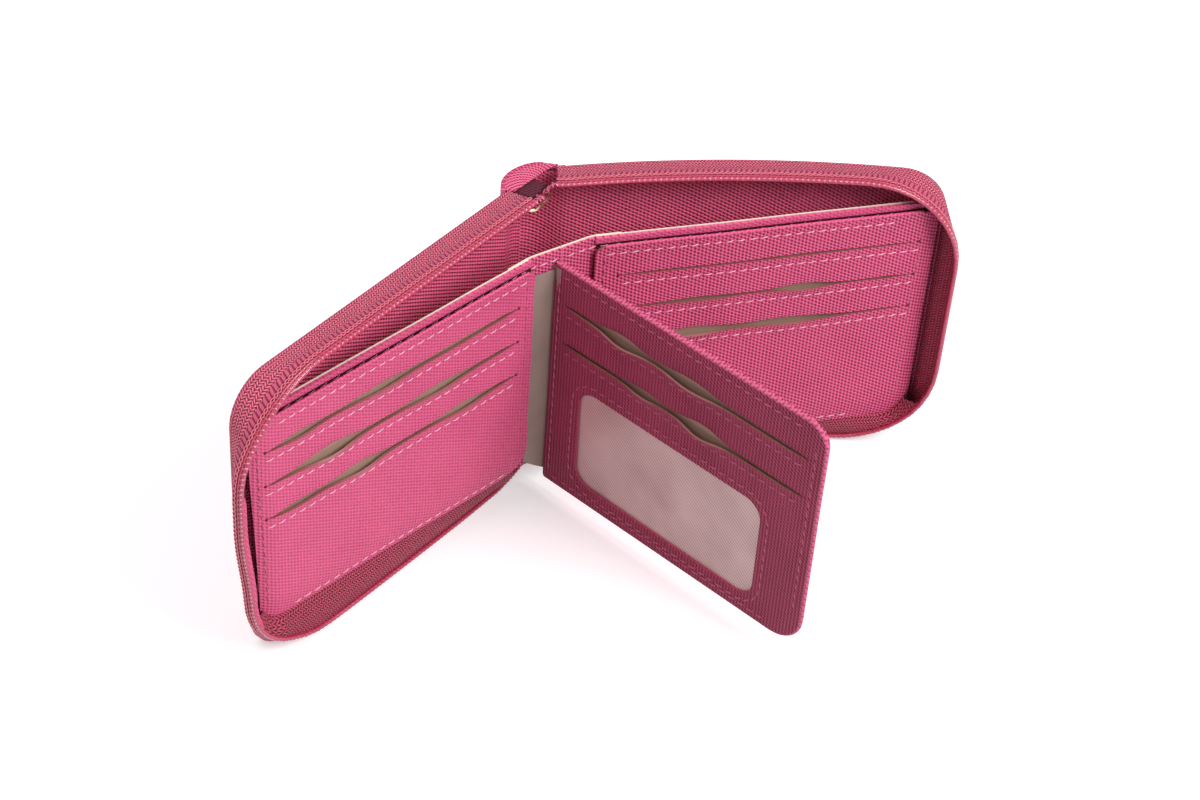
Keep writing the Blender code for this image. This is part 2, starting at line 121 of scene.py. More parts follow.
def ripple(x, z, seed, scale=0.035):
    return noise.noise(Vector((x * scale, z * scale, seed)))


def steps(first, last, count):
    """Even values from first to last, both included."""
    return [first + (last - first) * k / count for k in range(count + 1)]


def distances(points, unit=1.0):
    """How far along a line each of its points lies."""
    reach = [0.0]
    for a, b in zip(points, points[1:]):
        reach.append(reach[-1] + math.dist(a, b) / unit)
    return reach


def bezier(p0, p1, p2, p3, count):
    line = []
    for t in steps(0, 1, count):
        s = 1 - t
        line.append(p0 * s ** 3 + p1 * (3 * s * s * t) + p2 * (3 * s * t * t) + p3 * t ** 3)
    return line


def flat_rows(top, low, rows, columns, limits, place):
    """Rows of (point, uv) pairs from top to low, between the limits at each height."""
    made = []
    for z in steps(top, low, rows):
        made.append([(place(x, z), (x, z)) for x in steps(*limits(z), columns)])
    return made


# Mesh helpers
CLOTH_ANGLE = 40
FINE_ANGLE = 60
TUBE_UV = 0.3
WELD = 0.004


def weld(shape):
    bmesh.ops.remove_doubles(shape, verts=shape.verts, dist=WELD * MM)


def shade(mesh, angle):
    mesh.shade_smooth()
    mesh.set_sharp_from_angle(angle=math.radians(angle))


def finish_mesh(name, shape, skin, angle=CLOTH_ANGLE):
    mesh = bpy.data.meshes.new(name)
    shape.to_mesh(mesh)
    shape.free()
    mesh.materials.append(skins[skin])
    shade(mesh, angle)
    item = bpy.data.objects.new(name, mesh)
    bpy.context.scene.collection.objects.link(item)
    return item


def uv_layer(shape):
    return shape.loops.layers.uv.get(UV_NAME) or shape.loops.layers.uv.new(UV_NAME)


def turn_faces(shape, faces, rightness):
    """Reverse faces whose rightness, positive for a face that looks the right way, sums below 0."""
    for face in faces:
        face.normal_update()
    if sum(rightness(face) for face in faces) < 0:
        bmesh.ops.reverse_faces(shape, faces=faces)


def add_grid(shape, rows, toward=None):
    """Faces over rows of (point, uv) pairs, turned to look toward; UVs are the weave's millimetres."""
    layer_uv = uv_layer(shape)
    grid = [[(shape.verts.new(point), uv) for point, uv in row] for row in rows]
    made = []
    for upper, lower in zip(grid, grid[1:]):
        for c in range(len(upper) - 1):
            ring = (upper[c], upper[c + 1], lower[c + 1], lower[c])
            face = shape.faces.new([corner for corner, _ in ring])
            for loop, (_, uv) in zip(face.loops, ring):
                loop[layer_uv].uv = uv
            made.append(face)
    if toward is not None:
        turn_faces(shape, made, lambda face: face.normal.dot(toward))
    return made


def add_tube(shape, points, radius, sides=8):
    """A round tube through points in metres; radius is a number or a function of the share."""
    layer_uv = uv_layer(shape)
    last = len(points) - 1
    rings = []
    normal = None
    reach = 0.0
    for i, point in enumerate(points):
        ahead = (points[min(i + 1, last)] - points[max(i - 1, 0)]).normalized()
        if normal is None:
            normal = ahead.orthogonal().normalized()
        normal = (normal - ahead * normal.dot(ahead)).normalized()
        aside = ahead.cross(normal)
        wide = radius(i / last) if callable(radius) else radius
        if i:
            reach += (point - points[i - 1]).length / MM
        ring = [shape.verts.new(point + (normal * math.cos(a) + aside * math.sin(a)) * wide * MM)
                for a in (math.tau * s / sides for s in range(sides))]
        rings.append((ring, reach))
    for (low, start), (high, end) in zip(rings, rings[1:]):
        for s in range(sides):
            t = (s + 1) % sides
            face = shape.faces.new((low[s], low[t], high[t], high[s]))
            for loop, uv in zip(face.loops, ((start, s), (start, s + 1), (end, s + 1), (end, s))):
                loop[layer_uv].uv = (uv[0], uv[1] * TUBE_UV)
    shape.faces.new(list(reversed(rings[0][0])))
    shape.faces.new(rings[-1][0])


def add_balls(shape, spots, radius, detail):
    for spot in spots:
        bmesh.ops.create_icosphere(shape, subdivisions=detail, radius=radius * MM,
                                   matrix=Matrix.Translation(spot))


def settle(item):
    """Apply the modifiers of a piece."""
    bpy.context.view_layer.update()
    seen = item.evaluated_get(bpy.context.evaluated_depsgraph_get())
    mesh = bpy.data.meshes.new_from_object(seen)
    item.modifiers.clear()
    item.data = mesh
    shade(mesh, CLOTH_ANGLE)
    return item


def thicken(item, thickness, offset=-1.0, edge=None, ply=None):
    """Give a sheet its thickness; edge is the skin of its cut edges, ply that of its inner side too."""
    shell = item.modifiers.new("thickness", "SOLIDIFY")
    shell.thickness = thickness * MM
    shell.offset = offset
    shell.use_even_offset = False
    if edge or ply:
        item.data.materials.append(skins[edge or ply])
        shell.material_offset_rim = 1
        shell.material_offset = 1 if ply else 0
    return settle(item)


def sheet(name, rows, skin, thickness, toward):
    """A sheet of cloth over rows of (point, uv) pairs."""
    shape = bmesh.new()
    add_grid(shape, rows, toward)
    weld(shape)
    return thicken(finish_mesh(name, shape, skin), thickness)


# Pieces on their bodies
def mirror_weave(item):
    """The left pieces' cloth leans the same way as the right ones'."""
    if item.name.endswith("_left") and UV_NAME in item.data.uv_layers:
        for entry in item.data.uv_layers[UV_NAME].data:
            entry.uv.x = -entry.uv.x


def dress(slot, nodes):
    if nodes:
        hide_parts(*nodes)


def carry(item, body, slot, *nodes):
    mirror_weave(item)
    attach(item, body)
    dress(slot, nodes)


def bend(item, first, second, start, end, slot, *nodes):
    """Like carry, but the cloth is baked where it lies and attached to no body."""
    mirror_weave(item)
    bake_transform(item)
    dress(slot, nodes)


def layer(name, rows, skin, thickness, toward, body, slot, *nodes):
    """A sheet of cloth on one body."""
    carry(sheet(name, rows, skin, thickness, toward), body, slot, *nodes)


def fine_piece(name, skin, body, slot, fill, *nodes):
    """A piece on one body, of the threads or beads that fill(shape) adds."""
    shape = bmesh.new()
    fill(shape)
    carry(finish_mesh(name, shape, skin, FINE_ANGLE), body, slot, *nodes)


# Materials
WEAVE_PITCH = (1.14, 1.25)
TWILL_PITCH = 1.0
TWILL_ROW = 0.95
RIB_PITCH = 1.6
RIB_SLANT = 0.35
RIB_START = (5.8, 6.2)
GROOVE_START = (7.5, 7.8)
PINK = (0.76, 0.112, 0.252)
PINK_GAP = (0.24, 0.010, 0.058)
MAUVE = (0.50, 0.075, 0.140)
# Painted shade of the groove under the chain stitch
GROOVE_SHADE = (0.15, 0.007, 0.040)
RIB_SHADE = (0.20, 0.014, 0.055)


class Wiring:
    """Short calls for the nodes of one material or world."""

    def __init__(self, owner):
        owner.use_nodes = True
        self.owner = owner
        self.tree = owner.node_tree
        self.shader = self.tree.nodes.get("Principled BSDF")

    def node(self, kind, inputs=None, **settings):
        made = self.tree.nodes.new(kind)
        for key, value in settings.items():
            setattr(made, key, value)
        for key, value in (inputs or {}).items():
            self.feed(made.inputs[key], value)
        return made

    def feed(self, socket, value):
        if isinstance(value, bpy.types.NodeSocket):
            self.tree.links.new(value, socket)
        elif isinstance(value, tuple) and len(value) == 3 and socket.type == "RGBA":
            socket.default_value = (*value, 1)
        else:
            socket.default_value = value

    def math(self, operation, *values):
        return self.node("ShaderNodeMath", dict(enumerate(values)), operation=operation).outputs[0]

    def plus(self, first, second):
        return self.math("ADD", first, second)

    def less(self, first, second):
        return self.math("SUBTRACT", first, second)

    def times(self, first, second):
        return self.math("MULTIPLY", first, second)

    def over(self, first, second):
        return self.math("DIVIDE", first, second)

    def fold(self, value):
        """Up and down between 0 and 0.5."""
        return self.math("PINGPONG", value, 0.5)

    def wave(self, turns):
        return self.math("COSINE", self.times(turns, math.tau))

    def stripe(self, value, pitch):
        """Distance from the middle of each stripe, 0 to 0.5."""
        return self.math("ABSOLUTE", self.less(self.math("FRACT", self.over(value, pitch)), 0.5))

    def ramp(self, value, low, high, start=0.0, end=1.0):
        inputs = {"Value": value, "From Min": low, "From Max": high, "To Min": start, "To Max": end}
        return self.node("ShaderNodeMapRange", inputs, interpolation_type="SMOOTHSTEP").outputs[0]

    def mix(self, share, first, second):
        return self.node("ShaderNodeMix", {0: share, 6: first, 7: second}, data_type="RGBA").outputs[2]

    def noise(self, vector, scale, detail=2.0):
        inputs = {"Vector": vector, "Scale": scale, "Detail": detail}
        return self.node("ShaderNodeTexNoise", inputs).outputs["Fac"]

    def uv(self):
        vector = self.node("ShaderNodeUVMap", uv_map=UV_NAME).outputs[0]
        split = self.node("ShaderNodeSeparateXYZ", {0: vector})
        return vector, split.outputs[0], split.outputs[1]

    def place(self):
        return self.node("ShaderNodeTexCoord").outputs["Object"]

    def bump(self, height, distance, strength=1.0):
        inputs = {"Height": height, "Distance": distance * MM, "Strength": strength}
        self.feed(self.shader.inputs["Normal"], self.node("ShaderNodeBump", inputs).outputs[0])

    def set(self, **values):
        for key, value in values.items():
            self.feed(self.shader.inputs[key.replace("_", " ")], value)
        return self.owner


def wiring(name):
    return Wiring(bpy.data.materials.new(name))


def woven(name, bright, gap, spread=(-1.5, 0.7), depth=0.9, relief=0.34, rows=1.0):
    """Nylon in a fine staggered basket weave: raised floats with dark pits between them. The pits are partly
    the weave's own gaps and partly painted shade in its hollows; depth sets how dark they are painted.

    spread gives where the two crossed waves of the weave are all gap and all float.
    """
    w = wiring(name)
    vector, u, v = w.uv()
    column = w.over(u, WEAVE_PITCH[0])
    row = w.plus(w.over(v, WEAVE_PITCH[1]), w.times(column, 0.5))
    # pit_shade: the weave's gaps painted dark, partly their own colour and partly painted shade between the
    # floats
    pit_shade = w.ramp(w.plus(w.wave(column), w.times(w.wave(row), rows)), *spread, 1.0, 0.0)
    fibres = w.noise(vector, 3.2, 3.0)
    patches = w.noise(vector, 0.06)
    tone = w.plus(w.times(w.less(patches, 0.5), 0.35), w.times(w.less(fibres, 0.5), 0.3))
    dark = w.plus(w.times(pit_shade, depth), tone)
    w.bump(w.plus(w.less(1.0, pit_shade), w.times(fibres, 0.25)), relief)
    return w.set(Base_Color=w.mix(dark, bright, gap), Roughness=w.ramp(dark, 0.0, 1.0, 0.52, 0.8),
                 Specular_IOR_Level=0.3)


def twill(name, bright, gap, ribbed=False):
    """Zipper tape: small chevrons, then a ribbed band, and a groove under the chain stitch painted dark as
    its shade.
    """
    w = wiring(name)
    vector, u, v = w.uv()
    first = w.ramp(w.stripe(w.plus(u, w.math("PINGPONG", v, TWILL_ROW)), TWILL_PITCH), 0.14, 0.46)
    second = w.ramp(w.stripe(v, TWILL_ROW), 0.24, 0.5)
    grain = w.times(w.less(w.noise(vector, 1.7, 3.0), 0.5), 1.3)
    dark = w.plus(w.plus(w.times(first, 0.9), w.times(second, 0.55)), grain)
    colour = w.mix(dark, bright, gap)
    if ribbed:
        ribs = w.ramp(w.stripe(w.plus(u, w.times(v, RIB_SLANT)), RIB_PITCH), 0.2, 0.5)
        band = w.ramp(v, *RIB_START)
        dark = w.plus(w.times(dark, w.less(1.0, band)), w.times(ribs, band))
        colour = w.mix(band, colour, w.mix(ribs, MAUVE, RIB_SHADE))
        # the groove under the chain stitch: painted shade
        colour = w.mix(w.ramp(v, *GROOVE_START), colour, GROOVE_SHADE)
    w.bump(w.less(1.0, dark), 0.32)
    return w.set(Base_Color=colour, Roughness=w.ramp(dark, 0.0, 1.0, 0.5, 0.85), Specular_IOR_Level=0.3)


def satin(name, bright, shadow):
    """Smooth lining with fine threads across it."""
    w = wiring(name)
    vector, _, v = w.uv()
    threads = w.fold(w.times(v, 4.0))
    tone = w.plus(w.times(threads, 0.3), w.times(w.noise(vector, 0.12, 3.0), 0.7))
    w.bump(threads, 0.03, 0.5)
    return w.set(Base_Color=w.mix(tone, bright, shadow), Roughness=0.42, Sheen_Weight=0.2,
                 Sheen_Roughness=0.35)


def window_film(name, bright, shadow):
    """Clear film over pale cloth with fine slanted ribs."""
    w = wiring(name)
    vector, u, v = w.uv()
    ribs = w.fold(w.over(w.plus(v, w.times(u, 0.75)), 1.3))
    spots = w.fold(w.over(w.less(u, v), 0.8))
    tone = w.plus(w.times(w.ramp(ribs, 0.05, 0.45), 0.6), w.times(spots, 0.35))
    colour = w.mix(w.plus(tone, w.less(w.noise(vector, 0.05), 0.5)), bright, shadow)
    w.bump(tone, 0.05, 0.6)
    return w.set(Base_Color=colour, Roughness=0.5, Coat_Weight=0.35, Coat_Roughness=0.18)


def thread(name, bright, shadow):
    """Two-ply sewing thread."""
    w = wiring(name)
    _, u, v = w.uv()
    ply = w.fold(w.plus(w.times(u, 2.6), w.times(v, 1.7)))
    w.bump(ply, 0.05, 0.7)
    return w.set(Base_Color=w.mix(ply, shadow, bright), Roughness=0.45, Sheen_Weight=0.2)


def nylon(name, bright, shadow):
    w = wiring(name)
    tone = w.noise(w.uv()[0], 0.8)
    w.bump(tone, 0.04, 0.5)
    return w.set(Base_Color=w.mix(tone, bright, shadow), Roughness=0.22, Specular_IOR_Level=0.8)


def brass(name, bright, shadow):
    w = wiring(name)
    scratches = w.noise(w.place(), 900.0, 4.0)
    w.bump(scratches, 0.002, 0.2)
    return w.set(Base_Color=w.mix(scratches, bright, shadow), Metallic=1.0,
                 Roughness=w.ramp(scratches, 0.3, 0.7, 0.20, 0.30))


def board(name, bright, shadow):
    w = wiring(name)
    pulp = w.noise(w.place(), 700.0, 5.0)
    w.bump(pulp, 0.05, 0.5)
    return w.set(Base_Color=w.mix(pulp, bright, shadow), Roughness=0.9)


skins = {
    "cloth": woven("cloth_pink", PINK, PINK_GAP, depth=0.95),
    # Lit copy of the pink cloth for the left panel: its pits are painted shallower, so less painted shade,
    # where the key lamp falls squarely
    "lit_cloth": woven("cloth_calm", (0.70, 0.104, 0.235), (0.32, 0.020, 0.085), depth=0.5, relief=0.22),
    "hem": woven("cloth_hem", (0.70, 0.105, 0.240), (0.44, 0.044, 0.125), depth=0.7, relief=0.12),
    # Copy of the pink cloth for the linings and spine facing: a brighter base, painted light where the lamps
    # barely reach, and wider, darker pits, painted shade in the weave
    "lining": woven("cloth_lining_painted_light", (0.92, 0.145, 0.290), (0.17, 0.008, 0.034), (-2.2, 1.1), 0.85, 0.35,
                    rows=1.5),
    # Darker copy of the pink cloth with stronger pits, for the flap's front: painted shade on a face turned
    # away from the key lamp
    "deep": woven("cloth_shaded_copy", (0.47, 0.054, 0.128), (0.10, 0.005, 0.024), (-1.6, 1.5), 0.9, 0.4,
                  rows=1.2),
    # Near-black cloth: painted shade, for the divider deep in the slip pocket, the holes at the slots' ends
    # and the tape's end over the slider
    "painted_shade": woven("cloth_wine", (0.11, 0.006, 0.024), (0.03, 0.001, 0.006)),
    "edge": woven("cloth_edge", (0.64, 0.12, 0.23), (0.36, 0.04, 0.11), relief=0.15),
    "tape": twill("tape_rose", (0.86, 0.175, 0.260), (0.19, 0.010, 0.044), True),
    # Darker copy of the tape twill for the tape's inner side and the gusset: painted shade
    "ply": twill("tape_ply_painted_shade", (0.60, 0.085, 0.145), (0.09, 0.004, 0.020)),
    "fray": thread("cut_edge", (0.42, 0.13, 0.10), (0.20, 0.05, 0.045)),
    # Tan satin behind the slots: its own tan, darkened further as painted shade inside the slots
    "satin": satin("satin_cream_painted_shade", (0.49, 0.35, 0.255), (0.31, 0.21, 0.15)),
    "piping": satin("satin_pale", (0.88, 0.76, 0.62), (0.74, 0.60, 0.48)),
    # Darker copy of the cream satin for the hinge strip and its lining: painted shade
    "hinge": satin("satin_hinge_painted_shade", (0.33, 0.235, 0.20), (0.21, 0.14, 0.12)),
    "film": window_film("film_milky", (0.63, 0.46, 0.43), (0.31, 0.15, 0.155)),
    "thread": thread("thread_pink", (0.92, 0.54, 0.65), (0.76, 0.29, 0.41)),
    "chain": thread("thread_coral", (0.86, 0.26, 0.32), (0.58, 0.07, 0.12)),
    "dusk": thread("thread_dusk", (0.74, 0.17, 0.30), (0.36, 0.04, 0.10)),
    # Lighter copy of the coil's nylon for the teeth's heads: painted highlight, the glint on each tooth
    "bead": nylon("bead_rose_painted_highlight", (0.86, 0.36, 0.52), (0.74, 0.24, 0.40)),
    "coil": nylon("coil_pink", (0.50, 0.045, 0.13), (0.36, 0.024, 0.08)),
    "cord": nylon("cord_red", (0.50, 0.032, 0.085), (0.34, 0.015, 0.05)),
    "brass": brass("brass_pale", (0.98, 0.84, 0.58), (0.90, 0.72, 0.44)),
    "board": board("board_grey", (0.60, 0.58, 0.55), (0.42, 0.40, 0.38)),
}

# Outlines
STRAIGHT_STEPS = 40
TURN_STEPS = 10
SIDE_STEPS = 24
SHEET_ROWS = 40
FOOT_IN = 6.8
COIL_OUT = 2.8
FLARE = 3.4


def edge_run(length, radius, start):
    """One long side of a leaf and the corner after it, as distances along and from the side."""
    straight = steps(start, length - radius, STRAIGHT_STEPS)[:-1]
    quarter = steps(0, math.pi / 2, TURN_STEPS)
    return ([(x, 0.0) for x in straight]
            + [(length - radius + radius * math.sin(a), radius - radius * math.cos(a)) for a in quarter])


def rim(length, low, high, radius, start=0.0, heel=0.0):
    """The three free sides of a leaf: along the top, round the outer end, back below."""
    upper = [(x, high - down) for x, down in edge_run(length, radius, start)]
    lower = [(x, low + up) for x, up in edge_run(length, radius + heel, start)]
    lower.reverse()
    top, bottom = upper[-1][1], lower[0][1]
    side = [(length, z) for z in steps(top, bottom, SIDE_STEPS)[1:-1]]
    return upper + side + lower


def leaf_rim(side, inset, start=0.0):
    """A cover's rim, moved in from its edge."""
    return rim(LENGTH - inset, inset, HEIGHT - inset, CORNER - inset, start, HEEL[side])


def lean(side, share, x, z):
    """How the soft left end has settled: the cover's foot inwards, the coil outwards above it.

    share is 0 at the cover and 1 at the coil.
    """
    end = clamp((x - 84) / 30)
    cover = -FOOT_IN * max(1 - z / 50, 0) ** 1.3
    coil = COIL_OUT * ease((z - 28) / 32) * clamp((100 - z) / 20)
    return SETTLE[side] * end * end * (cover * (1 - share) + coil * share)


def flare(side, x, z):
    """How far the left zipper's lower run is pulled out towards the viewer."""
    rise, fall = clamp((x + 2) / 16), clamp((100 - x) / 70)
    return SETTLE[side] * FLARE * math.sqrt(rise * fall) * max(1 - max(z, 0) / 30, 0)


def settled(side, share, path):
    return [(x + lean(side, share, x, z), z) for x, z in path]


def rim_normals(path):
    normals = []
    for k in range(len(path)):
        x0, z0 = path[max(k - 1, 0)]
        x1, z1 = path[min(k + 1, len(path) - 1)]
        size = math.hypot(x1 - x0, z1 - z0) or 1.0
        normals.append(((z0 - z1) / size, (x1 - x0) / size))
    return normals


def bow(side, x):
    share = clamp(x / LENGTH)
    return BOW[side] * 4 * share * (1 - share)


def face_columns(side, inset, place, start=0.0):
    """Columns of (point, uv) pairs that fill a leaf's face, from its upper side to its lower one."""
    path = leaf_rim(side, inset, start)
    made = []
    for k in range(STRAIGHT_STEPS + TURN_STEPS + 1):
        (x, top), (last, low) = path[k], path[-1 - k]
        column = zip(steps(x, last, SIDE_STEPS), steps(top, low, SIDE_STEPS))
        made.append([(place(x, z), (x, z)) for x, z in settled(side, 0, column)])
    return made


# Covers
HEM_PROFILE = ((1.5, 0.0), (1.0, 0.06), (0.55, 0.25), (0.25, 0.6), (0.15, 1.1), (0.3, 1.6), (0.8, 2.0))
PUFF = 0.35
PUFF_RIPPLE = 0.22
PUFF_EDGE = 8
COVER_CLOTH = 0.6
LINING_OUT = 2.6
LINING_INSET = 1.6
LINING_CLOTH = 0.35
BOARD_OUT = 1.9
BOARD_INSET = 3.0
BOARD_START = 2.5
BOARD_THICKNESS = 0.9
TURN_START = 1.2
TURN_MIDDLE = 4.6


def hem_grid(side):
    """The cover's turned edge, from its flat face round to its lip."""
    leaf = leaves["fold_" + side]
    base = settled(side, 0, leaf_rim(side, HEM_PROFILE[0][0]))
    normals = rim_normals(base)
    rows = []
    for (inset, depth), reach in zip(HEM_PROFILE, distances(HEM_PROFILE)):
        path = settled(side, 0, leaf_rim(side, inset))
        rows.append([(leaf.at(x, depth - bow(side, x), z), (u + n * reach, v + m * reach))
                     for (x, z), (u, v), (n, m) in zip(path, base, normals)])
    return rows


def puffed(side, x, z):
    """World point of the cover's outer face, slightly full inside its edge."""
    inset = HEM_PROFILE[0][0]
    end = LENGTH + lean(side, 0, LENGTH, z)
    edge = min(z - inset, HEIGHT - inset - z, end - inset - x)
    puff = ease(edge / PUFF_EDGE) * (PUFF + PUFF_RIPPLE * ripple(x, z, 3.0 + HAND[side]))
    return leaves["fold_" + side].at(x, -bow(side, x) - puff, z)


def build_cover(side):
    leaf = leaves["fold_" + side]
    shape = bmesh.new()
    add_grid(shape, hem_grid(side))
    add_grid(shape, face_columns(side, HEM_PROFILE[0][0], lambda x, z: puffed(side, x, z)))
    weld(shape)
    bmesh.ops.recalc_face_normals(shape, faces=shape.faces)
    turn_faces(shape, list(shape.faces), lambda face: -face.normal.dot(leaf.out) * face.calc_area())
    item = thicken(finish_mesh("cover_cloth_" + side, shape, "cloth"), COVER_CLOTH)
    carry(item, side + "_shell", "woven_pink", "cover_" + side)


def lining_out(side, x, z):
    return LINING_OUT - bow(side, x) + 0.18 * ripple(x, z, 9.0)


def build_lining_turn(side):
    """The lining's soft turn from a leaf into the spine."""
    leaf, spine = leaves["fold_" + side], leaves["spine"]
    hand = HAND[side]
    rows = []
    for z in steps(LINING_INSET, HEIGHT - LINING_INSET, SHEET_ROWS):
        start = leaf.at(TURN_START, lining_out(side, TURN_START, z), z)
        line = bezier(start, leaf.at(-2.5, 2.75, z), spine.at(-hand * 6.5, TURN_MIDDLE, z),
                      spine.at(0, TURN_MIDDLE, z), 24)
        rows.append([(point, (TURN_START - d, z)) for point, d in zip(line, distances(line, MM))])
    item = sheet("lining_turn_" + side, rows, "lining", LINING_CLOTH, -spine.out)
    bend(item, "spine", side + "_shell", spine.at(-hand * 5.0, 3.0, 50), leaf.at(0.8, LINING_OUT, 50),
         "woven_pink", "spine_lining")


def build_lining(side):
    leaf = leaves["fold_" + side]
    rows = face_columns(side, LINING_INSET, lambda x, z: leaf.at(x, lining_out(side, x, z), z), TURN_START)
    layer("lining_cloth_" + side, rows, "lining", LINING_CLOTH, leaf.out, side + "_shell",
          "woven_pink", "lining_" + side)


def build_board(side):
    """The hidden stiffener, cut to the settled cover."""
    leaf = leaves["fold_" + side]
    rows = face_columns(side, BOARD_INSET, lambda x, z: leaf.at(x, BOARD_OUT - bow(side, x), z), BOARD_START)
    layer("board_sheet_" + side, rows, "board", BOARD_THICKNESS, leaf.out, side + "_shell",
          "stiffener_board", "board_" + side)


# Zipper
COIL_DEPTH = 10.3
COIL_RIM = (118.1, 1.5, 100.3, 29.6, -2.7)
COIL_INSET = 0.15
CORDS = ((0.4, -0.2, 0.68, 10), (-0.45, 0.3, 0.36, 8))
CHAIN_PLACE = (-1.35, 0.78)
TAPE_STATIONS = ((0.0, 1.1), (0.02, 1.9), (0.07, 2.9), (0.16, 3.9), (0.30, 4.9), (0.48, 5.9), (0.66, 6.7),
                 (0.78, 7.3), (0.88, 7.9), (0.98, 8.5), (1.0, 9.1), (0.96, 9.6))
TAPE_SPREAD = 3.0
TAPE_THICKNESS = 0.7
TOOTH_PITCH = 1.6
TOOTH_POINTS = 10
TOOTH_REACH = 0.82
TOOTH_RISE = 0.5
WIRE = 0.33
BEAD = 0.13
BEAD_RADIUS = 0.30
BEAD_PLACE = (TOOTH_REACH - 0.12, 0.42)
CHAIN_HALF = 0.36
CHAIN_GAP = 0.08
CHAIN_THREAD = 0.19
PLY_PROFILE = ((0.2, 10.3), (1.1, 10.6), (2.0, 10.4), (2.9, 10.0), (3.6, 9.2))
PLY_TAPER = 4.0
PLY_START = 100
PLY_HEIGHTS = (13, 84)


def tape_rim(side, share):
    path = rim(113.9 + 4.5 * share, 0.2 + 0.9 * share, 99.8 + 0.9 * share, 13.9 + 16.0 * share, -2.2,
               HEEL[side] * (1 - share))
    return settled(side, share, path)


def build_tape(side):
    leaf = leaves["fold_" + side]
    across = distances([(share * TAPE_SPREAD, depth) for share, depth in TAPE_STATIONS])
    rows = []
    for (share, depth), width in zip(TAPE_STATIONS, across):
        path = tape_rim(side, share)
        pull = depth / COIL_DEPTH
        rows.append([(leaf.at(x, depth + pull * flare(side, x, z) - bow(side, x), z), (reach, width))
                     for (x, z), reach in zip(path, distances(path))])
    shape = bmesh.new()
    inside = leaf.at(60, 5, 50)
    turn_faces(shape, add_grid(shape, rows),
               lambda face: face.normal.dot(face.calc_center_median() - inside))
    weld(shape)
    # The tape's inner side wears the darker twill copy: painted shade
    item = thicken(finish_mesh("tape_wall_" + side, shape, "tape"), TAPE_THICKNESS, 0.0, ply="ply")
    carry(item, side + "_shell", "zip_tape_rose", "zip_tape_" + side)


def resample(points, step):
    """Points at even steps along a line, with the line's heading at each."""
    made = []
    due = 0.0
    walked = 0.0
    for start, end in zip(points, points[1:]):
        span = (end - start).length
        while due <= walked + span:
            made.append((start.lerp(end, (due - walked) / span), (end - start).normalized()))
            due += step
        walked += span
    return made


def strand(line, aside, hand, step, wave):
    """A line taken in even steps, each point moved towards aside and outward by wave(turn)."""
    made = []
    for k, (point, ahead) in enumerate(resample(line, step * MM)):
        first = (aside - ahead * aside.dot(ahead)).normalized()
        second = ahead.cross(first) * hand
        inward, outward = wave(math.tau * k * step / TOOTH_PITCH)
        made.append(point + (first * inward + second * outward) * MM)
    return made


def add_teeth(shape, line, aside, hand):
    """The nylon coil: a flat helix along a line, thicker at the inner end of each turn."""
    helix = strand(line, aside, hand, TOOTH_PITCH / TOOTH_POINTS,
                   lambda turn: (TOOTH_REACH * math.cos(turn), TOOTH_RISE * math.sin(turn)))

    def wire(share):
        turn = math.tau * share * (len(helix) - 1) / TOOTH_POINTS
        return WIRE + BEAD * max(math.cos(turn), 0) ** 4

    add_tube(shape, helix, wire, 7)


def add_chain(shape, line, aside, hand):
    """Chain stitch on the tape: two strands that meet once in each tooth's pitch."""
    for way in (-1, 1):
        points = strand(line, aside, hand, TOOTH_PITCH / 8,
                        lambda turn: (way * (CHAIN_HALF * abs(math.sin(turn / 2)) + CHAIN_GAP), 0.0))
        add_tube(shape, points, CHAIN_THREAD, 5)


def rim_line(side, path, depth, outward):
    """World points along a leaf's edge, at a depth and moved outward."""
    leaf = leaves["fold_" + side]
    return [leaf.at(x + n * outward, depth + flare(side, x, z) - bow(side, x), z + m * outward)
            for (x, z), (n, m) in zip(path, rim_normals(path))]


def build_coil(side):
    body, aside, hand = side + "_shell", leaves["fold_" + side].out, HAND[side]
    path = settled(side, 1, rim(*COIL_RIM))
    middle = rim_line(side, path, COIL_DEPTH, -COIL_INSET)
    beads = strand(middle, aside, hand, TOOTH_PITCH, lambda turn: BEAD_PLACE)

    def add_cords(shape):
        for deeper, outward, radius, sides in CORDS:
            add_tube(shape, rim_line(side, path, COIL_DEPTH + deeper, outward), radius, sides)

    def add_stitching(shape):
        deeper, outward = CHAIN_PLACE
        add_chain(shape, rim_line(side, path, COIL_DEPTH + deeper, outward), aside, hand)

    fine_piece("coil_teeth_" + side, "coil", body, "nylon_coil",
               lambda shape: add_teeth(shape, middle, aside, hand), "zip_coil_" + side)
    # The beads wear the lighter nylon copy: painted highlight on each tooth's head
    fine_piece("coil_beads_" + side, "bead", body, "nylon_coil",
               lambda shape: add_balls(shape, beads, BEAD_RADIUS, 1))
    fine_piece("coil_cord_" + side, "cord", body, "nylon_coil", add_cords)
    fine_piece("coil_chain_" + side, "chain", body, "nylon_coil", add_stitching)
    if side == "left":
        build_coil_ply(side, path)


def build_coil_ply(side, coil_path):
    """The tape's folded inner ply beside the coil, along the outer end."""
    low, high = PLY_HEIGHTS
    path = [(x, z) for x, z in coil_path if x > PLY_START and low < z < high]
    reach = distances(path)
    count = len(path) - 1
    foot = rim_line(side, path, PLY_PROFILE[0][1], -PLY_PROFILE[0][0])
    rows = []
    for inward, depth in PLY_PROFILE:
        full = rim_line(side, path, depth, -inward)
        rows.append([(foot[k].lerp(full[k], min(k / PLY_TAPER, (count - k) / PLY_TAPER, 1) ** 0.5),
                      (reach[k], inward)) for k in range(count + 1)])
    layer("coil_ply_" + side, rows, "hem", 0.4, leaves["fold_" + side].out, side + "_shell",
          "zip_tape_rose")


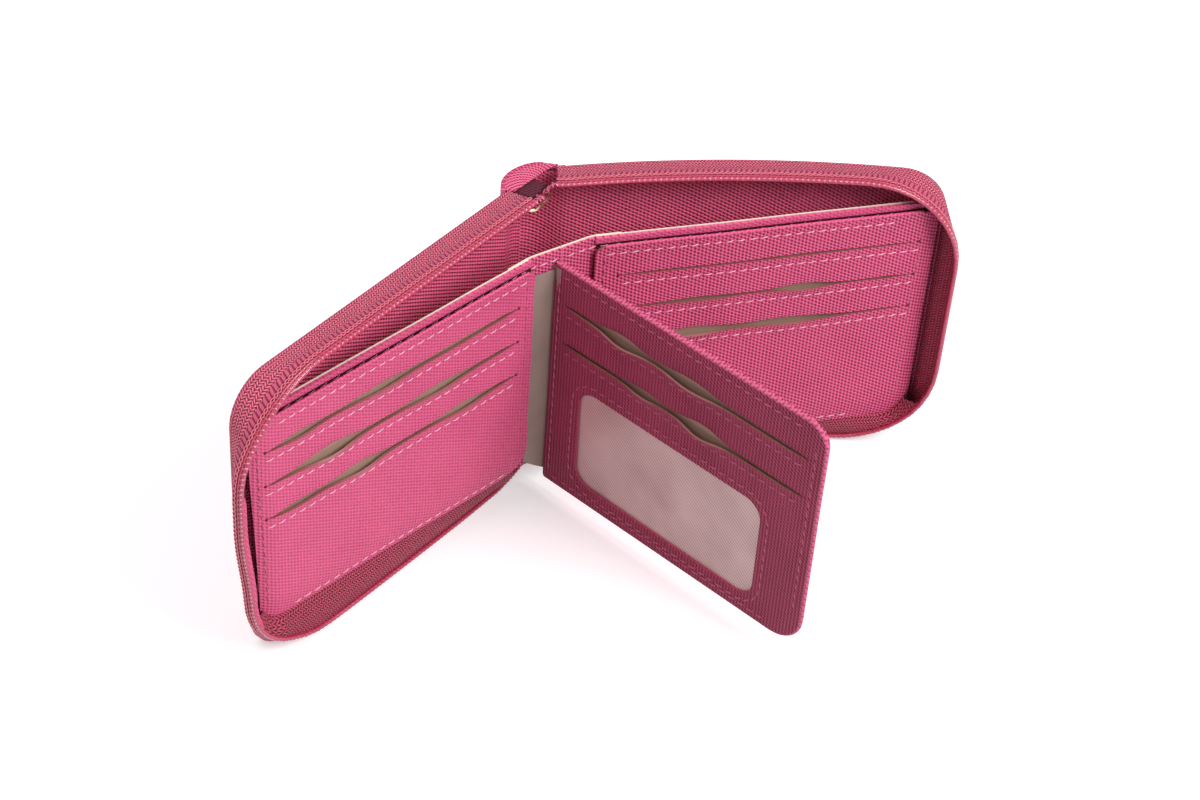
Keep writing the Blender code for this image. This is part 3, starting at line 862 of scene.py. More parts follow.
# Slotted panels
SLOT_LENGTH = 92.0
LIP_REACH = 5.5
LIP_DROP = 0.22
LIP_OUT = 0.36
LIP_LIFT = 0.48
SLOT_BASE = {"left": 1.3, "right": 0.6, "flap": 1.5}
SLOT_SWELL = 0.85
SLOT_BUMPS = {
    "left": (((0.55, 2.3, 0.11), (0.87, 1.7, 0.07), (0.25, 0.7, 0.12)),
             ((0.76, 4.4, 0.10), (0.33, 2.6, 0.11)),
             ((0.65, 3.6, 0.09), (0.22, 2.2, 0.09), (0.88, 1.2, 0.08))),
    "right": (((0.2, 0.3, 0.15), (0.6, 0.5, 0.15)),
              ((0.28, 1.4, 0.13), (0.62, 2.9, 0.09), (0.90, 0.5, 0.05)),
              ((0.27, 3.9, 0.11), (0.58, 3.0, 0.15))),
    "flap": (((0.25, 4.2, 0.08), (0.53, 3.7, 0.10)),
             ((0.59, 5.0, 0.08), (0.35, 2.4, 0.07))),
}


class Panel:
    """A cloth panel with slots: its outline, and how the cloth bends round the open slots."""

    def __init__(self, leaf, low, high, ends, slots, start, use, form):
        self.leaf = leaf
        self.low = low
        self.high = high
        self.ends = ends
        self.slots = slots
        self.start = start
        self.base = SLOT_BASE[use]
        self.bumps = SLOT_BUMPS[use]
        self.form = form

    def gape(self, slot, x):
        """How far a slot opens, from its base and the places where it bulges."""
        share = (x - self.start) / SLOT_LENGTH
        if share <= 0 or share >= 1:
            return 0.0
        swell = sum(size * math.exp(-((share - at) / spread) ** 2) for at, size, spread in self.bumps[slot])
        return (self.base + SLOT_SWELL * swell) * min(min(share, 1 - share) * 12, 1) ** 0.5

    def spot(self, x, z, band=None, lift=0.0):
        """World point of the panel's face; band picks the lip where z is on a slot."""
        if band is None:
            band = sum(1 for slot in self.slots if z < slot)
        out = self.form(x, z)
        rise = 0.0
        if band > 0:
            near = max(1 - (self.slots[band - 1] - z) / LIP_REACH, 0) ** 2
            wide = self.gape(band - 1, x) * near
            rise -= LIP_DROP * wide
            out += LIP_OUT * wide
        if band < len(self.slots):
            near = max(1 - (z - self.slots[band]) / LIP_REACH, 0) ** 2
            rise += LIP_LIFT * self.gape(band, x) * near
        return self.leaf.at(x, out + lift, z + rise)

    def build(self, name, skin, thickness, columns=120, row_height=0.9):
        shape = bmesh.new()
        edges = [self.high, *self.slots, self.low]
        for band, (top, bottom) in enumerate(zip(edges, edges[1:])):
            rows = max(int(round((top - bottom) / row_height)), 2)
            add_grid(shape, flat_rows(top, bottom, rows, columns, self.ends,
                                      lambda x, z: self.spot(x, z, band)))
        weld(shape)
        bmesh.ops.recalc_face_normals(shape, faces=shape.faces)
        turn_faces(shape, list(shape.faces), lambda face: face.normal.dot(self.leaf.out))
        return thicken(finish_mesh(name, shape, skin), thickness, edge="fray")


def rounded_ends(first, last, low, high, radii):
    """Left and right limits of a rounded outline at a height; radii from lower right, anticlockwise."""
    lower_right, upper_right, upper_left, lower_left = radii

    def inset(z, lower, upper):
        if z > high - upper:
            return upper - math.sqrt(max(upper ** 2 - (z - high + upper) ** 2, 0))
        if z < low + lower:
            return lower - math.sqrt(max(lower ** 2 - (low + lower - z) ** 2, 0))
        return 0.0

    return lambda z: (first + inset(z, lower_left, upper_left), last - inset(z, lower_right, upper_right))


# Stitches
STITCH_PITCH = 3.55
STITCH_LENGTH = 2.45
STITCH_START = 0.4
STITCH_LEAN = 0.192
STITCH_THREAD = 0.19
STITCH_LENGTHS = (0.92, 1.06)
STITCH_LEANS = (0.7, 1.3)
STITCH_GAPS = (0.97, 1.03)
STITCH_SHARES = (0.0, 0.12, 0.35, 0.65, 0.88, 1.0)
STITCH_RISE = 0.28
STITCH_SINK = 0.12
STITCH_DROP = 3.1


def add_stitches(shape, spots, random_seed, pitch=STITCH_PITCH, thick=STITCH_THREAD):
    """Dashes of thread along a line of (point, outward) pairs in metres."""
    rng = random.Random(random_seed)
    reach = distances([point for point, _ in spots], MM)

    def along(distance):
        for k in range(len(reach) - 1):
            if reach[k + 1] >= distance:
                share = (distance - reach[k]) / max(reach[k + 1] - reach[k], 1e-9)
                return spots[k][0].lerp(spots[k + 1][0], share), spots[k][1].lerp(spots[k + 1][1], share)
        return spots[-1]

    due = STITCH_START
    while due + STITCH_LENGTH < reach[-1]:
        length = STITCH_LENGTH * rng.uniform(*STITCH_LENGTHS)
        ahead = (along(due + length)[0] - along(due)[0]).normalized()
        tilt = STITCH_LEAN * rng.uniform(*STITCH_LEANS)
        line = []
        for share in STITCH_SHARES:
            point, out = along(due + length * share)
            aside = out.cross(ahead)
            height = STITCH_RISE * math.sin(math.pi * share) ** 0.5 - STITCH_SINK
            line.append(point + out * (height * MM) + aside * (tilt * (2 * share - 1) * MM))
        add_tube(shape, line, lambda t: thick * (0.55 + 0.45 * math.sin(math.pi * t)), 6)
        due += pitch * rng.uniform(*STITCH_GAPS)


def stitch_piece(name, lines, skin, body, slot, **settings):
    def fill(shape):
        for k, line in enumerate(lines):
            add_stitches(shape, line, k + len(name), **settings)

    fine_piece(name, skin, body, slot, fill)


def panel_line(panel, points, step=1.0):
    """A stitch line over a panel through (x, z) corners."""
    line = []
    for (x0, z0), (x1, z1) in zip(points, points[1:]):
        count = max(int(math.hypot(x1 - x0, z1 - z0) / step), 1)
        for x, z in zip(steps(x0, x1, count)[:-1], steps(z0, z1, count)):
            line.append((panel.spot(x, z), panel.leaf.out))
    line.append((panel.spot(*points[-1]), panel.leaf.out))
    return line


def level_line(panel, first, last, z):
    return panel_line(panel, ((first, z), (last, z)))


# Card pockets
SLOT_Z = (79.0, 66.7, 54.4)
SLOT_HOLE = 0.6
POCKET_TOP = 90.3
POCKET_LOW = {"left": 13.5, "right": 10.0}
POCKET_LENGTH = {"left": 103.7, "right": 105.5}
SLOT_MARGIN = {"left": 5.6, "right": 6.0}
# The left panel wears the lit copy of the cloth, with less painted shade in its weave
PANEL_SKIN = {"left": "lit_cloth", "right": "cloth"}
PANEL_CORNER = {"left": 6.0, "right": 9.0}
PANEL_UPPER = 7.0
PANEL_LEAN = {"left": 4.2, "right": 0.0}
PANEL_LEAN_TOP = 95
BRIM_STEPS = 90
BRIM_RADIUS = 0.48
LINER_DROP = 6.0
LINER_DEPTH = 1.25
LINER_INSET = 2.2
DIVIDER_DEPTH = 2.0
DIVIDER_TOP = POCKET_TOP + 2.0
SEAM_INSET = {"left": 2.2, "right": 5.2}
SEAM_INNER = 2.8
HEM_SEAM = POCKET_TOP - 0.9


def panel_edge(side, z):
    """Where a panel's outer end stands at a height."""
    return -PANEL_LEAN[side] * (1 - z / PANEL_LEAN_TOP)


def panel_form(side, x, z):
    """How a panel's face curves: in at its outer end and at its foot, out at its brim."""
    tuck = max((x - panel_edge(side, z) + 7) / 7, 0)
    heel = max((POCKET_LOW[side] + 11 - z) / 11, 0)
    brim = clamp((z - POCKET_TOP + 8) / 8)
    return -1.9 * tuck ** 2 - 1.6 * heel ** 2 + 0.4 * brim ** 2 + 0.5 * ripple(x, z, 21.0 + HAND[side], 0.03)


def card_panel(side):
    low = POCKET_LOW[side]
    square = rounded_ends(-POCKET_LENGTH[side], 0.0, low, POCKET_TOP,
                          (PANEL_CORNER[side], PANEL_UPPER, 3.0, 9.0))

    def ends(z):
        first, last = square(z)
        return first, last + panel_edge(side, z)

    start = -SLOT_MARGIN[side] - SLOT_LENGTH
    return Panel(leaves["seam_" + side], low, POCKET_TOP, ends, SLOT_Z, start, side,
                 lambda x, z: panel_form(side, x, z))


def build_panel(side, panel):
    """The slotted cloth, its rolled upper edge, and near-black balls at the slots' ends, painted shade in
    the punched holes there.
    """
    body = side + "_pocket"
    item = panel.build("card_panel_" + side, PANEL_SKIN[side], 0.7)
    carry(item, body, "woven_pink", "card_front_" + side)
    first, last = panel.ends(POCKET_TOP - 0.3)
    brim = [panel.spot(x, POCKET_TOP - 0.15, lift=-0.3) for x in steps(first + 1, last - 1, BRIM_STEPS)]
    fine_piece("panel_brim_" + side, "hem", body, "woven_pink",
               lambda shape: add_tube(shape, brim, BRIM_RADIUS))
    # Near-black balls at the slots' ends: painted shade inside the punched holes
    holes = [panel.spot(x, slot, lift=-0.25) for slot in SLOT_Z
             for x in (panel.start - 0.3, panel.start + SLOT_LENGTH + 0.3)]
    fine_piece("slot_hole_shades_" + side, "painted_shade", body, "woven_pink",
               lambda shape: add_balls(shape, holes, SLOT_HOLE, 2))


def build_pocket_layers(side):
    """The satin behind the slots, and the divider's cloth, hem and pale lining; the divider's cloth is
    painted near-black, as the shade deep in the slip pocket.
    """
    leaf, body = leaves["seam_" + side], side + "_pocket"
    length, low = POCKET_LENGTH[side], POCKET_LOW[side]

    def place(depth, wave=0.0):
        return lambda x, z: leaf.at(x, panel_form(side, x, z) - depth + wave * ripple(x, z, 5.0, 0.12), z)

    top, foot = POCKET_TOP - LINER_DROP, low + LINER_INSET
    ends = rounded_ends(-length + LINER_INSET, -LINER_INSET - PANEL_LEAN[side], foot, top,
                        (8.0, 8.0, 3.0, 8.0))
    rows = flat_rows(top, foot, SHEET_ROWS, 80, ends, place(LINER_DEPTH, 0.2))
    # The satin behind the slots is darkened: painted shade
    layer("satin_liner_" + side, rows, "satin", 0.3, leaf.out, body, "cream_satin", "card_liner_" + side)

    back_ends = rounded_ends(-length, -PANEL_LEAN[side], low, DIVIDER_TOP, (9.0, 9.0, 0.6, 9.0))
    for name, depth, skin, thick, rise, foot, slot, nodes in (
            # The divider's cloth wears the near-black skin: painted shade in the slip pocket behind the
            # panel
            ("divider_cloth_", DIVIDER_DEPTH, "painted_shade", 0.5, -0.2, low, "woven_pink", ("divider_" + side,)),
            ("divider_hem_", DIVIDER_DEPTH - 0.4, "hem", 1.0, 0.0, POCKET_TOP + 0.2, "woven_pink", ()),
            ("divider_lining_", DIVIDER_DEPTH + 0.75, "piping", 0.35, 0.2, low, "cream_satin", ())):
        rows = flat_rows(DIVIDER_TOP + rise, foot + rise, SHEET_ROWS, 80,
                         lambda z: back_ends(min(z, DIVIDER_TOP)), place(depth))
        layer(name + side, rows, skin, thick, leaf.out, body, slot, *nodes)


def build_pocket_stitches(side, panel):
    leaf, body, low = panel.leaf, side + "_pocket", panel.low
    inner, outer = -POCKET_LENGTH[side] + SEAM_INNER, -SEAM_INSET[side]
    lines = [level_line(panel, inner, outer - 6, POCKET_TOP - 3.0)]
    for slot in SLOT_Z:
        lines.append(level_line(panel, panel.start + 0.5, panel.start + SLOT_LENGTH + 1, slot - STITCH_DROP))
    lines.append(level_line(panel, inner + 5, outer - 12, low + 2.4))
    stitch_piece("panel_stitches_" + side, lines, "thread", body, "woven_pink")
    hem = [(leaf.at(x, panel_form(side, x, HEM_SEAM) - DIVIDER_DEPTH + 0.1, HEM_SEAM), leaf.out)
           for x in range(int(inner) + 5, -9, 2)]
    stitch_piece("hem_stitches_" + side, [hem], "thread", body, "woven_pink", thick=0.08, pitch=4.4)
    upper, lower = POCKET_TOP - 8, low + 7
    sides = [panel_line(panel, ((inner, POCKET_TOP - 4.0), (inner, low + 8))),
             panel_line(panel, ((outer + panel_edge(side, upper), upper),
                                (outer + panel_edge(side, lower), lower)))]
    stitch_piece("panel_seams_" + side, sides, "dusk", body, "woven_pink")


def build_pocket(side):
    panel = card_panel(side)
    build_panel(side, panel)
    build_pocket_layers(side)
    build_pocket_stitches(side, panel)


# Gussets between the coils and the pockets
COIL_TURN = 88.5
COIL_CORNER = 28.8
GUSSET_END = {"left": math.radians(74), "right": math.radians(62)}
GUSSET_LOW = 2.3
GUSSET_BULGE = 1.3
GUSSET_FADE = 1.1
GUSSET_LEAN = 0.84
GUSSET_ROWS = 12
GUSSET_RUN = 60
GUSSET_TURN = 20


def gusset_edges(side):
    """Points on the pocket's edge, each with its place along the coil, its height there and the bulge."""
    shell, pocket = leaves["fold_" + side], leaves["seam_" + side]
    low, first = POCKET_LOW[side], -POCKET_LENGTH[side] + 1.5
    corner, end = PANEL_CORNER[side], GUSSET_END[side]
    turn_x = -corner - PANEL_LEAN[side] * GUSSET_LEAN
    edges = []
    for x in steps(first, turn_x, GUSSET_RUN):
        upper = pocket.at(x, -2.3, low + 1.4)
        along = (upper / MM - shell.origin).dot(shell.along)
        rise = COIL_CORNER - math.sqrt(COIL_CORNER ** 2 - max(along - COIL_TURN, 0) ** 2)
        edges.append((upper, along, GUSSET_LOW + rise, GUSSET_BULGE))
    last = math.asin((along - COIL_TURN) / COIL_CORNER)
    reach = corner - 1.4
    for share in steps(0, 1, GUSSET_TURN)[1:]:
        angle, turn = end * share, last + (end - last) * share
        upper = pocket.at(turn_x + reach * math.sin(angle), -2.6, low + corner - reach * math.cos(angle))
        edges.append((upper, COIL_TURN + COIL_CORNER * math.sin(turn),
                      GUSSET_LOW + COIL_CORNER * (1 - math.cos(turn)), GUSSET_BULGE - GUSSET_FADE * share))
    return edges


def build_gusset(side):
    """Inner ply of the tape, from the coil up to the pocket's lower edge and round its corner."""
    shell = leaves["fold_" + side]
    edges = gusset_edges(side)
    shares = steps(0, 1, GUSSET_ROWS)
    rows = []
    for (upper, along, z, bulge), reach in zip(edges, distances([edge[0] for edge in edges], MM)):
        lower = shell.at(along + lean(side, 1, along, z),
                         COIL_DEPTH + 0.1 + flare(side, along, z) - bow(side, along), z)
        drop = (upper - lower).length / MM
        rows.append([(upper.lerp(lower, t) + shell.out * (bulge * math.sin(math.pi * t) * MM),
                      (reach, drop * t)) for t in shares])
    # The gusset wears the darker twill copy: painted shade
    item = sheet("gusset_" + side, rows, "ply", 0.4, shell.out)
    bend(item, side + "_shell", side + "_pocket", shell.at(60, COIL_DEPTH, 3),
         shell.at(60, COIL_DEPTH, POCKET_LOW[side] + 0.5), "zip_tape_rose")


# Strip between the pockets
STRIP_WIDTH = {"left": 9.2, "right": 9.6}
STRIP_START = 8
STRIP_STITCHES = DIVIDER_TOP - 3.0
STRIP_OUT = -DIVIDER_DEPTH + 0.05


def divider_line(side, out_pocket, out_strip):
    """Plan of the divider's cloth from a pocket's inner end round to the strip's free end."""
    pocket, strip = leaves["seam_" + side], leaves["strip_" + side]
    length, wide = POCKET_LENGTH[side], STRIP_WIDTH[side]
    line = [pocket.at(-length + STRIP_START, out_pocket, 0), pocket.at(-length + 3, out_pocket, 0),
            strip.at(0.2, out_strip, 0), strip.at(-wide / 2, out_strip, 0),
            strip.at(-wide - 1.2, out_strip, 0)]
    for _ in range(3):
        cut = [line[0]]
        for a, b in zip(line, line[1:]):
            cut += [a.lerp(b, 0.25), a.lerp(b, 0.75)]
        line = cut + [line[-1]]
    return line


def build_strip(side):
    """The divider's own cloth between the pockets, turned softly at the pocket's end."""
    pocket, strip, body = leaves["seam_" + side], leaves["strip_" + side], side + "_strip"
    low, length = POCKET_LOW[side], POCKET_LENGTH[side]
    for name, out_pocket, out_strip, skin, thick, rise, slot, nodes in (
            ("strip_cloth_", STRIP_OUT, 0.35, "cloth", 0.7, 0.02, "woven_pink", ("divider_fold_" + side,)),
            ("strip_lining_", -DIVIDER_DEPTH - 0.7, -0.4, "piping", 0.45, 0.35, "cream_satin", ())):
        line = divider_line(side, out_pocket, out_strip)
        reach = distances(line, MM)
        rows = []
        for z in steps(DIVIDER_TOP + rise, low + rise, SHEET_ROWS):
            rows.append([(point + UP * z * MM, (STRIP_START - length - d, z))
                         for point, d in zip(line, reach)])
        item = sheet(name + side, rows, skin, thick, strip.out)
        bend(item, body, side + "_pocket", strip.at(-2.5, 0, 50), pocket.at(-length + 2.5, out_pocket, 50),
             slot, *nodes)
    line = [(point + UP * STRIP_STITCHES * MM, strip.out) for point in divider_line(side, STRIP_OUT, 0.38)]
    stitch_piece("strip_stitches_" + side, [line], "thread", body, "woven_pink")


# Flap
FLAP_LENGTH = 100.3
FLAP_LOW = 7.0
FLAP_TOP = 88.8
FLAP_HINGE = 0.3
FLAP_SLOTS = (76.1, 62.5)
FLAP_START = 4.4
FLAP_OUT = 1.15
FLAP_CORNERS = (10.0, 7.0, 0.5, 0.5)
BINDING_RADIUS = 0.72
WINDOW = (13.0, 82.5, 13.5, 50.0)
WINDOW_CORNER = 6.0
WINDOW_SEAM = 2.8
PANE = (9.5, 86.0, 10.0, 53.5)
PANE_OUT = 0.32
HINGE_SPAN = (-0.6, 4.0)
HINGE_ARCH = 0.5
HINGE_LINING = (-9.6, -0.4)
HINGE_LINING_ARCH = 0.35


def build_hinge_lining():
    """Cream lining over the left half of the strip, beside the flap's hinge, in the darkened hinge satin:
    painted shade.
    """
    strip = leaves["strip_left"]
    start, end = HINGE_LINING
    columns = []
    for share in steps(0, 1, 12):
        x = start + (end - start) * share
        low = FLAP_LOW + 1.5 + (POCKET_LOW["left"] - FLAP_LOW) * share
        columns.append([(strip.at(x, 0.62 + HINGE_LINING_ARCH * math.sin(math.pi * share), z), (x, z))
                        for z in steps(low, FLAP_TOP - 2.5, SHEET_ROWS)])
    layer("hinge_lining", columns, "hinge", 0.3, strip.out, "left_strip", "cream_satin")


def flap_form(x, z):
    heel = max((z - 82) / 7, 0)
    return FLAP_OUT + 0.25 * ripple(x, z, 31.0, 0.03) - 0.15 * heel


def window_outline(radius, count):
    """Corner points of the window, at a radius about its corners' centres."""
    first, last, low, high = WINDOW
    left, right = first + WINDOW_CORNER, last - WINDOW_CORNER
    lower, upper = low + WINDOW_CORNER, high - WINDOW_CORNER
    outline = []
    for turn, (x, z) in enumerate(((right, upper), (left, upper), (left, lower), (right, lower))):
        for a in steps(turn * math.pi / 2, (turn + 1) * math.pi / 2, count):
            outline.append((x + radius * math.cos(a), z + radius * math.sin(a)))
    return outline


def cut_window(front):
    leaf = leaves["flap"]
    outline = window_outline(WINDOW_CORNER, 8)
    shape = bmesh.new()
    near = [shape.verts.new(leaf.at(x, -3, z)) for x, z in outline]
    far = [shape.verts.new(leaf.at(x, 5, z)) for x, z in outline]
    shape.faces.new(near)
    shape.faces.new(list(reversed(far)))
    for k in range(len(outline)):
        t = (k + 1) % len(outline)
        shape.faces.new((near[t], near[k], far[k], far[t]))
    bmesh.ops.recalc_face_normals(shape, faces=shape.faces)
    cutter = finish_mesh("window_cutter", shape, "deep")
    cut = front.modifiers.new("window", "BOOLEAN")
    cut.operation = "DIFFERENCE"
    cut.solver = "EXACT"
    cut.object = cutter
    settle(front)
    bpy.data.objects.remove(cutter, do_unlink=True)


def flap_layer(name, inset, out, skin, thick, slot, node, low=FLAP_LOW):
    leaf = leaves["flap"]
    radii = (FLAP_CORNERS[0] - inset, FLAP_CORNERS[1] - inset, *FLAP_CORNERS[2:])
    top, foot = FLAP_TOP - inset, low + inset
    ends = rounded_ends(FLAP_HINGE + 0.3, FLAP_LENGTH - inset, foot, top, radii)
    rows = flat_rows(top, foot, 48, 60, ends, lambda x, z: leaf.at(x, out + flap_form(x, z) - FLAP_OUT, z))
    layer(name, rows, skin, thick, leaf.out, "id_flap", slot, node)


def build_flap_layers():
    """The flap's back, the satin behind its slots, the window's film and the hinge strip."""
    leaf = leaves["flap"]
    flap_layer("flap_cloth_back", 0.0, -0.45, "cloth", 0.7, "woven_pink", "flap_back")
    flap_layer("flap_satin", 1.2, 0.1, "satin", 0.25, "cream_satin", "flap_liner", low=52.0)
    first, last, low, high = PANE
    rows = flat_rows(low, high, 30, 40, lambda z: (first, last),
                     lambda x, z: leaf.at(x, PANE_OUT + 0.25 * ripple(x, z, 41.0, 0.02), z))
    layer("window_pane", rows, "film", 0.25, leaf.out, "id_flap", "window_film", "id_window")
    start, end = HINGE_SPAN

    def arched(x, z):
        return leaf.at(x, 0.55 + HINGE_ARCH * math.sin(math.pi * (x - start) / (end - start)), z)

    rows = flat_rows(FLAP_LOW + 3.0, FLAP_TOP - 1.0, 20, 8, lambda z: HINGE_SPAN, arched)
    # The hinge strip wears the darkened satin: painted shade
    layer("hinge_satin", rows, "hinge", 0.35, leaf.out, "id_flap", "cream_satin", "flap_hinge_strip")


def flap_rim():
    """The flap's edge from the hinge along the top, round the outer end and back below."""
    lower, upper = FLAP_CORNERS[:2]
    path = [(FLAP_HINGE + 0.4, FLAP_TOP)]
    for x, z, radius, turn in ((FLAP_LENGTH - upper, FLAP_TOP - upper, upper, math.pi / 2),
                               (FLAP_LENGTH - lower, FLAP_LOW + lower, lower, 0.0)):
        for a in steps(turn, turn - math.pi / 2, 8):
            path.append((x + radius * math.cos(a), z + radius * math.sin(a)))
    path.append((FLAP_HINGE + 0.4, FLAP_LOW))
    return path


def build_flap_stitches(panel):
    top, low, end = FLAP_TOP - 2.8, FLAP_LOW + 2.4, FLAP_LENGTH - 2.6
    lines = [level_line(panel, 3.5, FLAP_LENGTH - 8, top),
             panel_line(panel, ((end, FLAP_TOP - 8), (end, FLAP_LOW + 11))),
             panel_line(panel, ((2.5, FLAP_TOP - 3), (2.5, FLAP_LOW + 3))),
             level_line(panel, 3.5, FLAP_LENGTH - 10, low)]
    for slot in FLAP_SLOTS:
        lines.append(level_line(panel, FLAP_START + 1, FLAP_START + SLOT_LENGTH, slot - STITCH_DROP))
    outline = window_outline(WINDOW_CORNER + WINDOW_SEAM, 6)
    lines.append(panel_line(panel, outline + outline[:1]))
    stitch_piece("flap_stitches", lines, "dusk", "id_flap", "woven_deep_pink")


def build_flap():
    leaf = leaves["flap"]
    ends = rounded_ends(FLAP_HINGE, FLAP_LENGTH, FLAP_LOW, FLAP_TOP, FLAP_CORNERS)
    panel = Panel(leaf, FLAP_LOW, FLAP_TOP, ends, FLAP_SLOTS, FLAP_START, "flap", flap_form)
    # The flap's front wears the darker copy of the cloth: painted shade
    front = panel.build("flap_cloth_front", "deep", 0.6)
    cut_window(front)
    carry(front, "id_flap", "woven_deep_pink", "flap_front")
    build_flap_layers()
    binding = [leaf.at(x, 0.25, z) for x, z in flap_rim()]
    fine_piece("flap_binding", "edge", "id_flap", "woven_pink",
               lambda shape: add_tube(shape, binding, BINDING_RADIUS, 10))
    build_flap_stitches(panel)


# Spine
SPINE_STEPS = 40
SPINE_ROWS = 60
SPINE_CLOTH = 1.1
FACING_LEFT = Vector((-8.8, -1.4))
FACING_RIGHT = Vector((6.6, 1.4))
FACING_FULL = 0.25
FACING_ROWS = 10


def spine_arc():
    """The spine's plan as (x, out, distance along it)."""
    radius = (CREASE ** 2 + SPINE_BULGE ** 2) / (2 * SPINE_BULGE)
    sweep = math.asin(CREASE / radius)
    line = []
    for a in steps(-sweep, sweep, SPINE_STEPS):
        line.append((radius * math.sin(a), SPINE_BULGE - radius + radius * math.cos(a),
                     radius * (sweep + a)))
    return line


def hump(share, at, spread):
    return math.exp(-((share - at) / spread) ** 2)


def build_spine():
    leaf = leaves["spine"]
    line = spine_arc()
    whole = line[-1][2]
    rows = []
    for z in steps(0, HEIGHT, SPINE_ROWS):
        row = []
        for x, out, reach in line:
            share = reach / whole
            dip = 1.3 * hump(share, 0.90, 0.09) + 0.8 * hump(share, 0.06, 0.06)
            drop = 0.5 * hump(share, 0.88, 0.12) * (z / HEIGHT) ** 20
            row.append((leaf.at(x, out - dip + 0.25 * ripple(reach, z, 51.0, 0.09), z - drop), (reach, z)))
        rows.append(row)
    layer("spine_cloth", rows, "cloth", SPINE_CLOTH, leaf.out, "spine", "woven_pink", "spine_cover")
    build_facing(line[3:-3], whole)


def build_facing(line, whole):
    """The spine's inner ply, from the rim over the slider's back half."""
    leaf = leaves["spine"]
    rows = []
    for share in steps(0, 1, FACING_ROWS):
        row = []
        for x, out, reach in line:
            end = FACING_LEFT.lerp(FACING_RIGHT, reach / whole)
            start = Vector((x * 0.97, out - 0.6))
            spot = start.lerp(end, share)
            full = FACING_FULL * math.sin(math.pi * share) * math.sin(math.pi * reach / whole)
            row.append((leaf.at(spot.x, spot.y, HEIGHT - 0.2 - 0.3 * share + full),
                        (reach, -share * (start - end).length)))
        rows.append(row)
    layer("spine_facing", rows, "lining", 0.3, UP, "spine", "woven_pink")


# Slider, ring and the coils' first runs
TAIL_PROFILE = ((4.9, 92.5), (4.85, 96.5), (4.7, 98.6), (4.0, 99.05), (1.4, 99.1), (-0.8, 99.0),
                (-2.8, 99.0), (-4.0, 98.9), (-4.5, 98.3), (-4.6, 97.6))
TAIL_HALF = 5.2
TAIL_SAG = 1.8


def slider_leaf():
    place = leaves["spine"].at(-2.8, -0.6, 0) / MM
    return Leaf(place, HEADINGS["spine"] + 20.0, 1)


def build_tape_tail():
    """The tape's sewn end, which comes from behind the slider and lies over its top, painted near-black as
    the shade of the hollow there.
    """
    block = slider_leaf()
    xs = steps(-TAIL_HALF, TAIL_HALF, 12)
    rows = [[(block.at(x, y, z - TAIL_SAG * (abs(x) / TAIL_HALF) ** 12), (x, y * 1.2)) for x in xs]
            for y, z in TAIL_PROFILE]
    # Near-black skin: painted shade of the hollow over the slider
    item = sheet("tape_tail", rows, "painted_shade", 0.3, UP)
    rounding = item.modifiers.new("smooth", "SUBSURF")
    rounding.levels = 1
    carry(settle(item), "spine", "zip_tape_rose", "zip_tape_tail")


def build_coil_end(side):
    """A coil's first run, from its leaf down into the slider's mouth."""
    leaf, block, hand = leaves["fold_" + side], slider_leaf(), HAND[side]
    start = leaf.at(-2.7, COIL_DEPTH, 100.3)
    mouth = block.at(-hand * 1.6, -4.0, 97.2)
    line = bezier(start, leaf.at(-5.5, COIL_DEPTH + 0.3, 100.2), block.at(-hand * 1.7, -7.5, 98.6), mouth,
                  24)
    shape = bmesh.new()
    add_teeth(shape, line, leaf.out, hand)
    add_tube(shape, line, 0.45)
    item = finish_mesh("coil_end_" + side, shape, "coil", FINE_ANGLE)
    bend(item, "spine", side + "_shell", mouth, start, "nylon_coil", "zip_end_" + side)


def metal_pieces():
    for name in ("zip_slider", "pull_ring"):
        frame["nodes"][name].data.materials.clear()
        frame["nodes"][name].data.materials.append(skins["brass"])


# Studio
SKY = 0.36
SKY_COLOUR = (0.96, 0.95, 1.0)
FLOOR_SIZE = 6.0
FLOOR_COLOUR = (0.80, 0.80, 0.80)
FLOOR_GLOW = 0.385
LAMP_AIM = Vector((0, 0, 0.04))
LAMPS = (("key", (0.42, -0.72, 0.86), 0.6, 13.0), ("top", (-0.15, 0.25, 1.2), 0.9, 4.6),
         ("side", (-0.42, 0.16, 0.30), 0.5, 0.8))


def build_floor():
    bpy.ops.mesh.primitive_plane_add(size=FLOOR_SIZE, location=(0, 0, 0))
    floor = bpy.context.object
    floor.name = "studio_floor"
    w = wiring("floor_white")
    w.tree.nodes.remove(w.shader)
    diffuse = w.node("ShaderNodeBsdfDiffuse", {"Color": FLOOR_COLOUR})
    rays = w.node("ShaderNodeLightPath").outputs
    seen = w.math("MAXIMUM", rays["Is Camera Ray"], rays["Is Glossy Ray"])
    glow = w.node("ShaderNodeEmission", {"Strength": w.times(seen, FLOOR_GLOW)})
    both = w.node("ShaderNodeAddShader", {0: diffuse.outputs[0], 1: glow.outputs[0]})
    w.feed(w.tree.nodes["Material Output"].inputs["Surface"], both.outputs[0])
    floor.data.materials.append(w.owner)


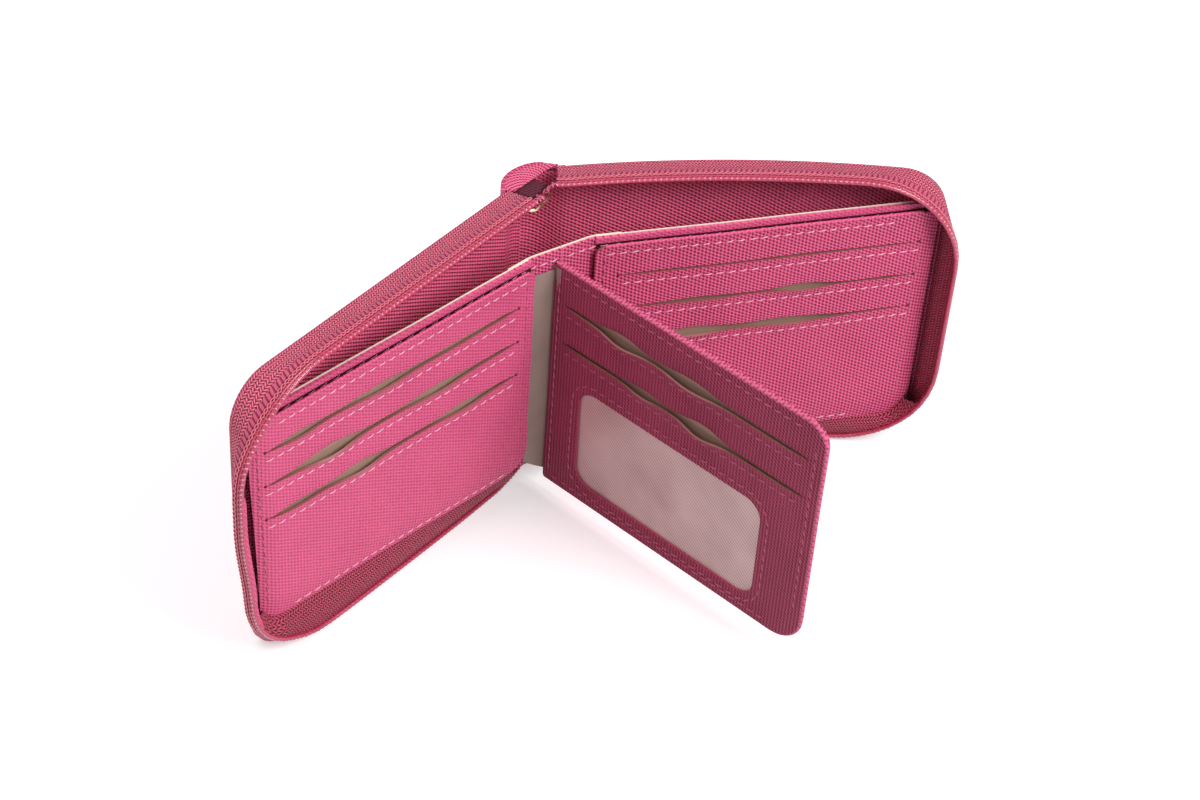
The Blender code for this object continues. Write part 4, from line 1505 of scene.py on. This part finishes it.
def build_sky():
    """White where it is seen, plain and dimmer where it lights."""
    world = bpy.data.worlds.new("studio")
    bpy.context.scene.world = world
    w = Wiring(world)
    back = w.tree.nodes["Background"]
    w.feed(back.inputs["Color"], SKY_COLOUR)
    rays = w.node("ShaderNodeLightPath").outputs
    seen = w.math("MAXIMUM", w.math("MAXIMUM", rays["Is Camera Ray"], rays["Is Transmission Ray"]),
                  rays["Is Glossy Ray"])
    w.feed(back.inputs["Strength"], w.ramp(seen, 0.0, 1.0, SKY, 1.0))


def build_lamps():
    for name, place, size, watts in LAMPS:
        lamp = bpy.data.lights.new(name, "AREA")
        lamp.size = size
        lamp.energy = watts
        item = bpy.data.objects.new(name, lamp)
        item.location = place
        item.rotation_euler = (LAMP_AIM - Vector(place)).to_track_quat("-Z", "Y").to_euler()
        bpy.context.scene.collection.objects.link(item)


def build_camera():
    lens = bpy.data.cameras.new("camera")
    lens.lens = LENS
    lens.sensor_width = 36.0
    lens.sensor_fit = "HORIZONTAL"
    lens.clip_start = 0.01
    item = bpy.data.objects.new("camera", lens)
    bpy.context.scene.collection.objects.link(item)
    ahead = Vector((math.cos(PITCH) * math.cos(YAW), math.cos(PITCH) * math.sin(YAW), math.sin(PITCH)))
    right = Vector((math.sin(YAW), -math.cos(YAW), 0))
    above = right.cross(ahead)
    tilted_right = right * math.cos(ROLL) + above * math.sin(ROLL)
    tilted_up = above * math.cos(ROLL) - right * math.sin(ROLL)
    turn = Matrix((tilted_right, tilted_up, -ahead)).transposed().to_4x4()
    item.matrix_world = Matrix.Translation(EYE) @ turn
    bpy.context.scene.camera = item


build_camera()
build_floor()
build_sky()
build_lamps()
metal_pieces()
build_spine()
for side_name in HAND:
    build_cover(side_name)
    build_board(side_name)
    build_lining(side_name)
    build_lining_turn(side_name)
    build_gusset(side_name)
    build_coil_end(side_name)
    build_tape(side_name)
    build_coil(side_name)
    build_pocket(side_name)
    build_strip(side_name)
build_flap()
build_hinge_lining()
build_tape_tail()

bpy.context.scene.view_settings.view_transform = "Standard"
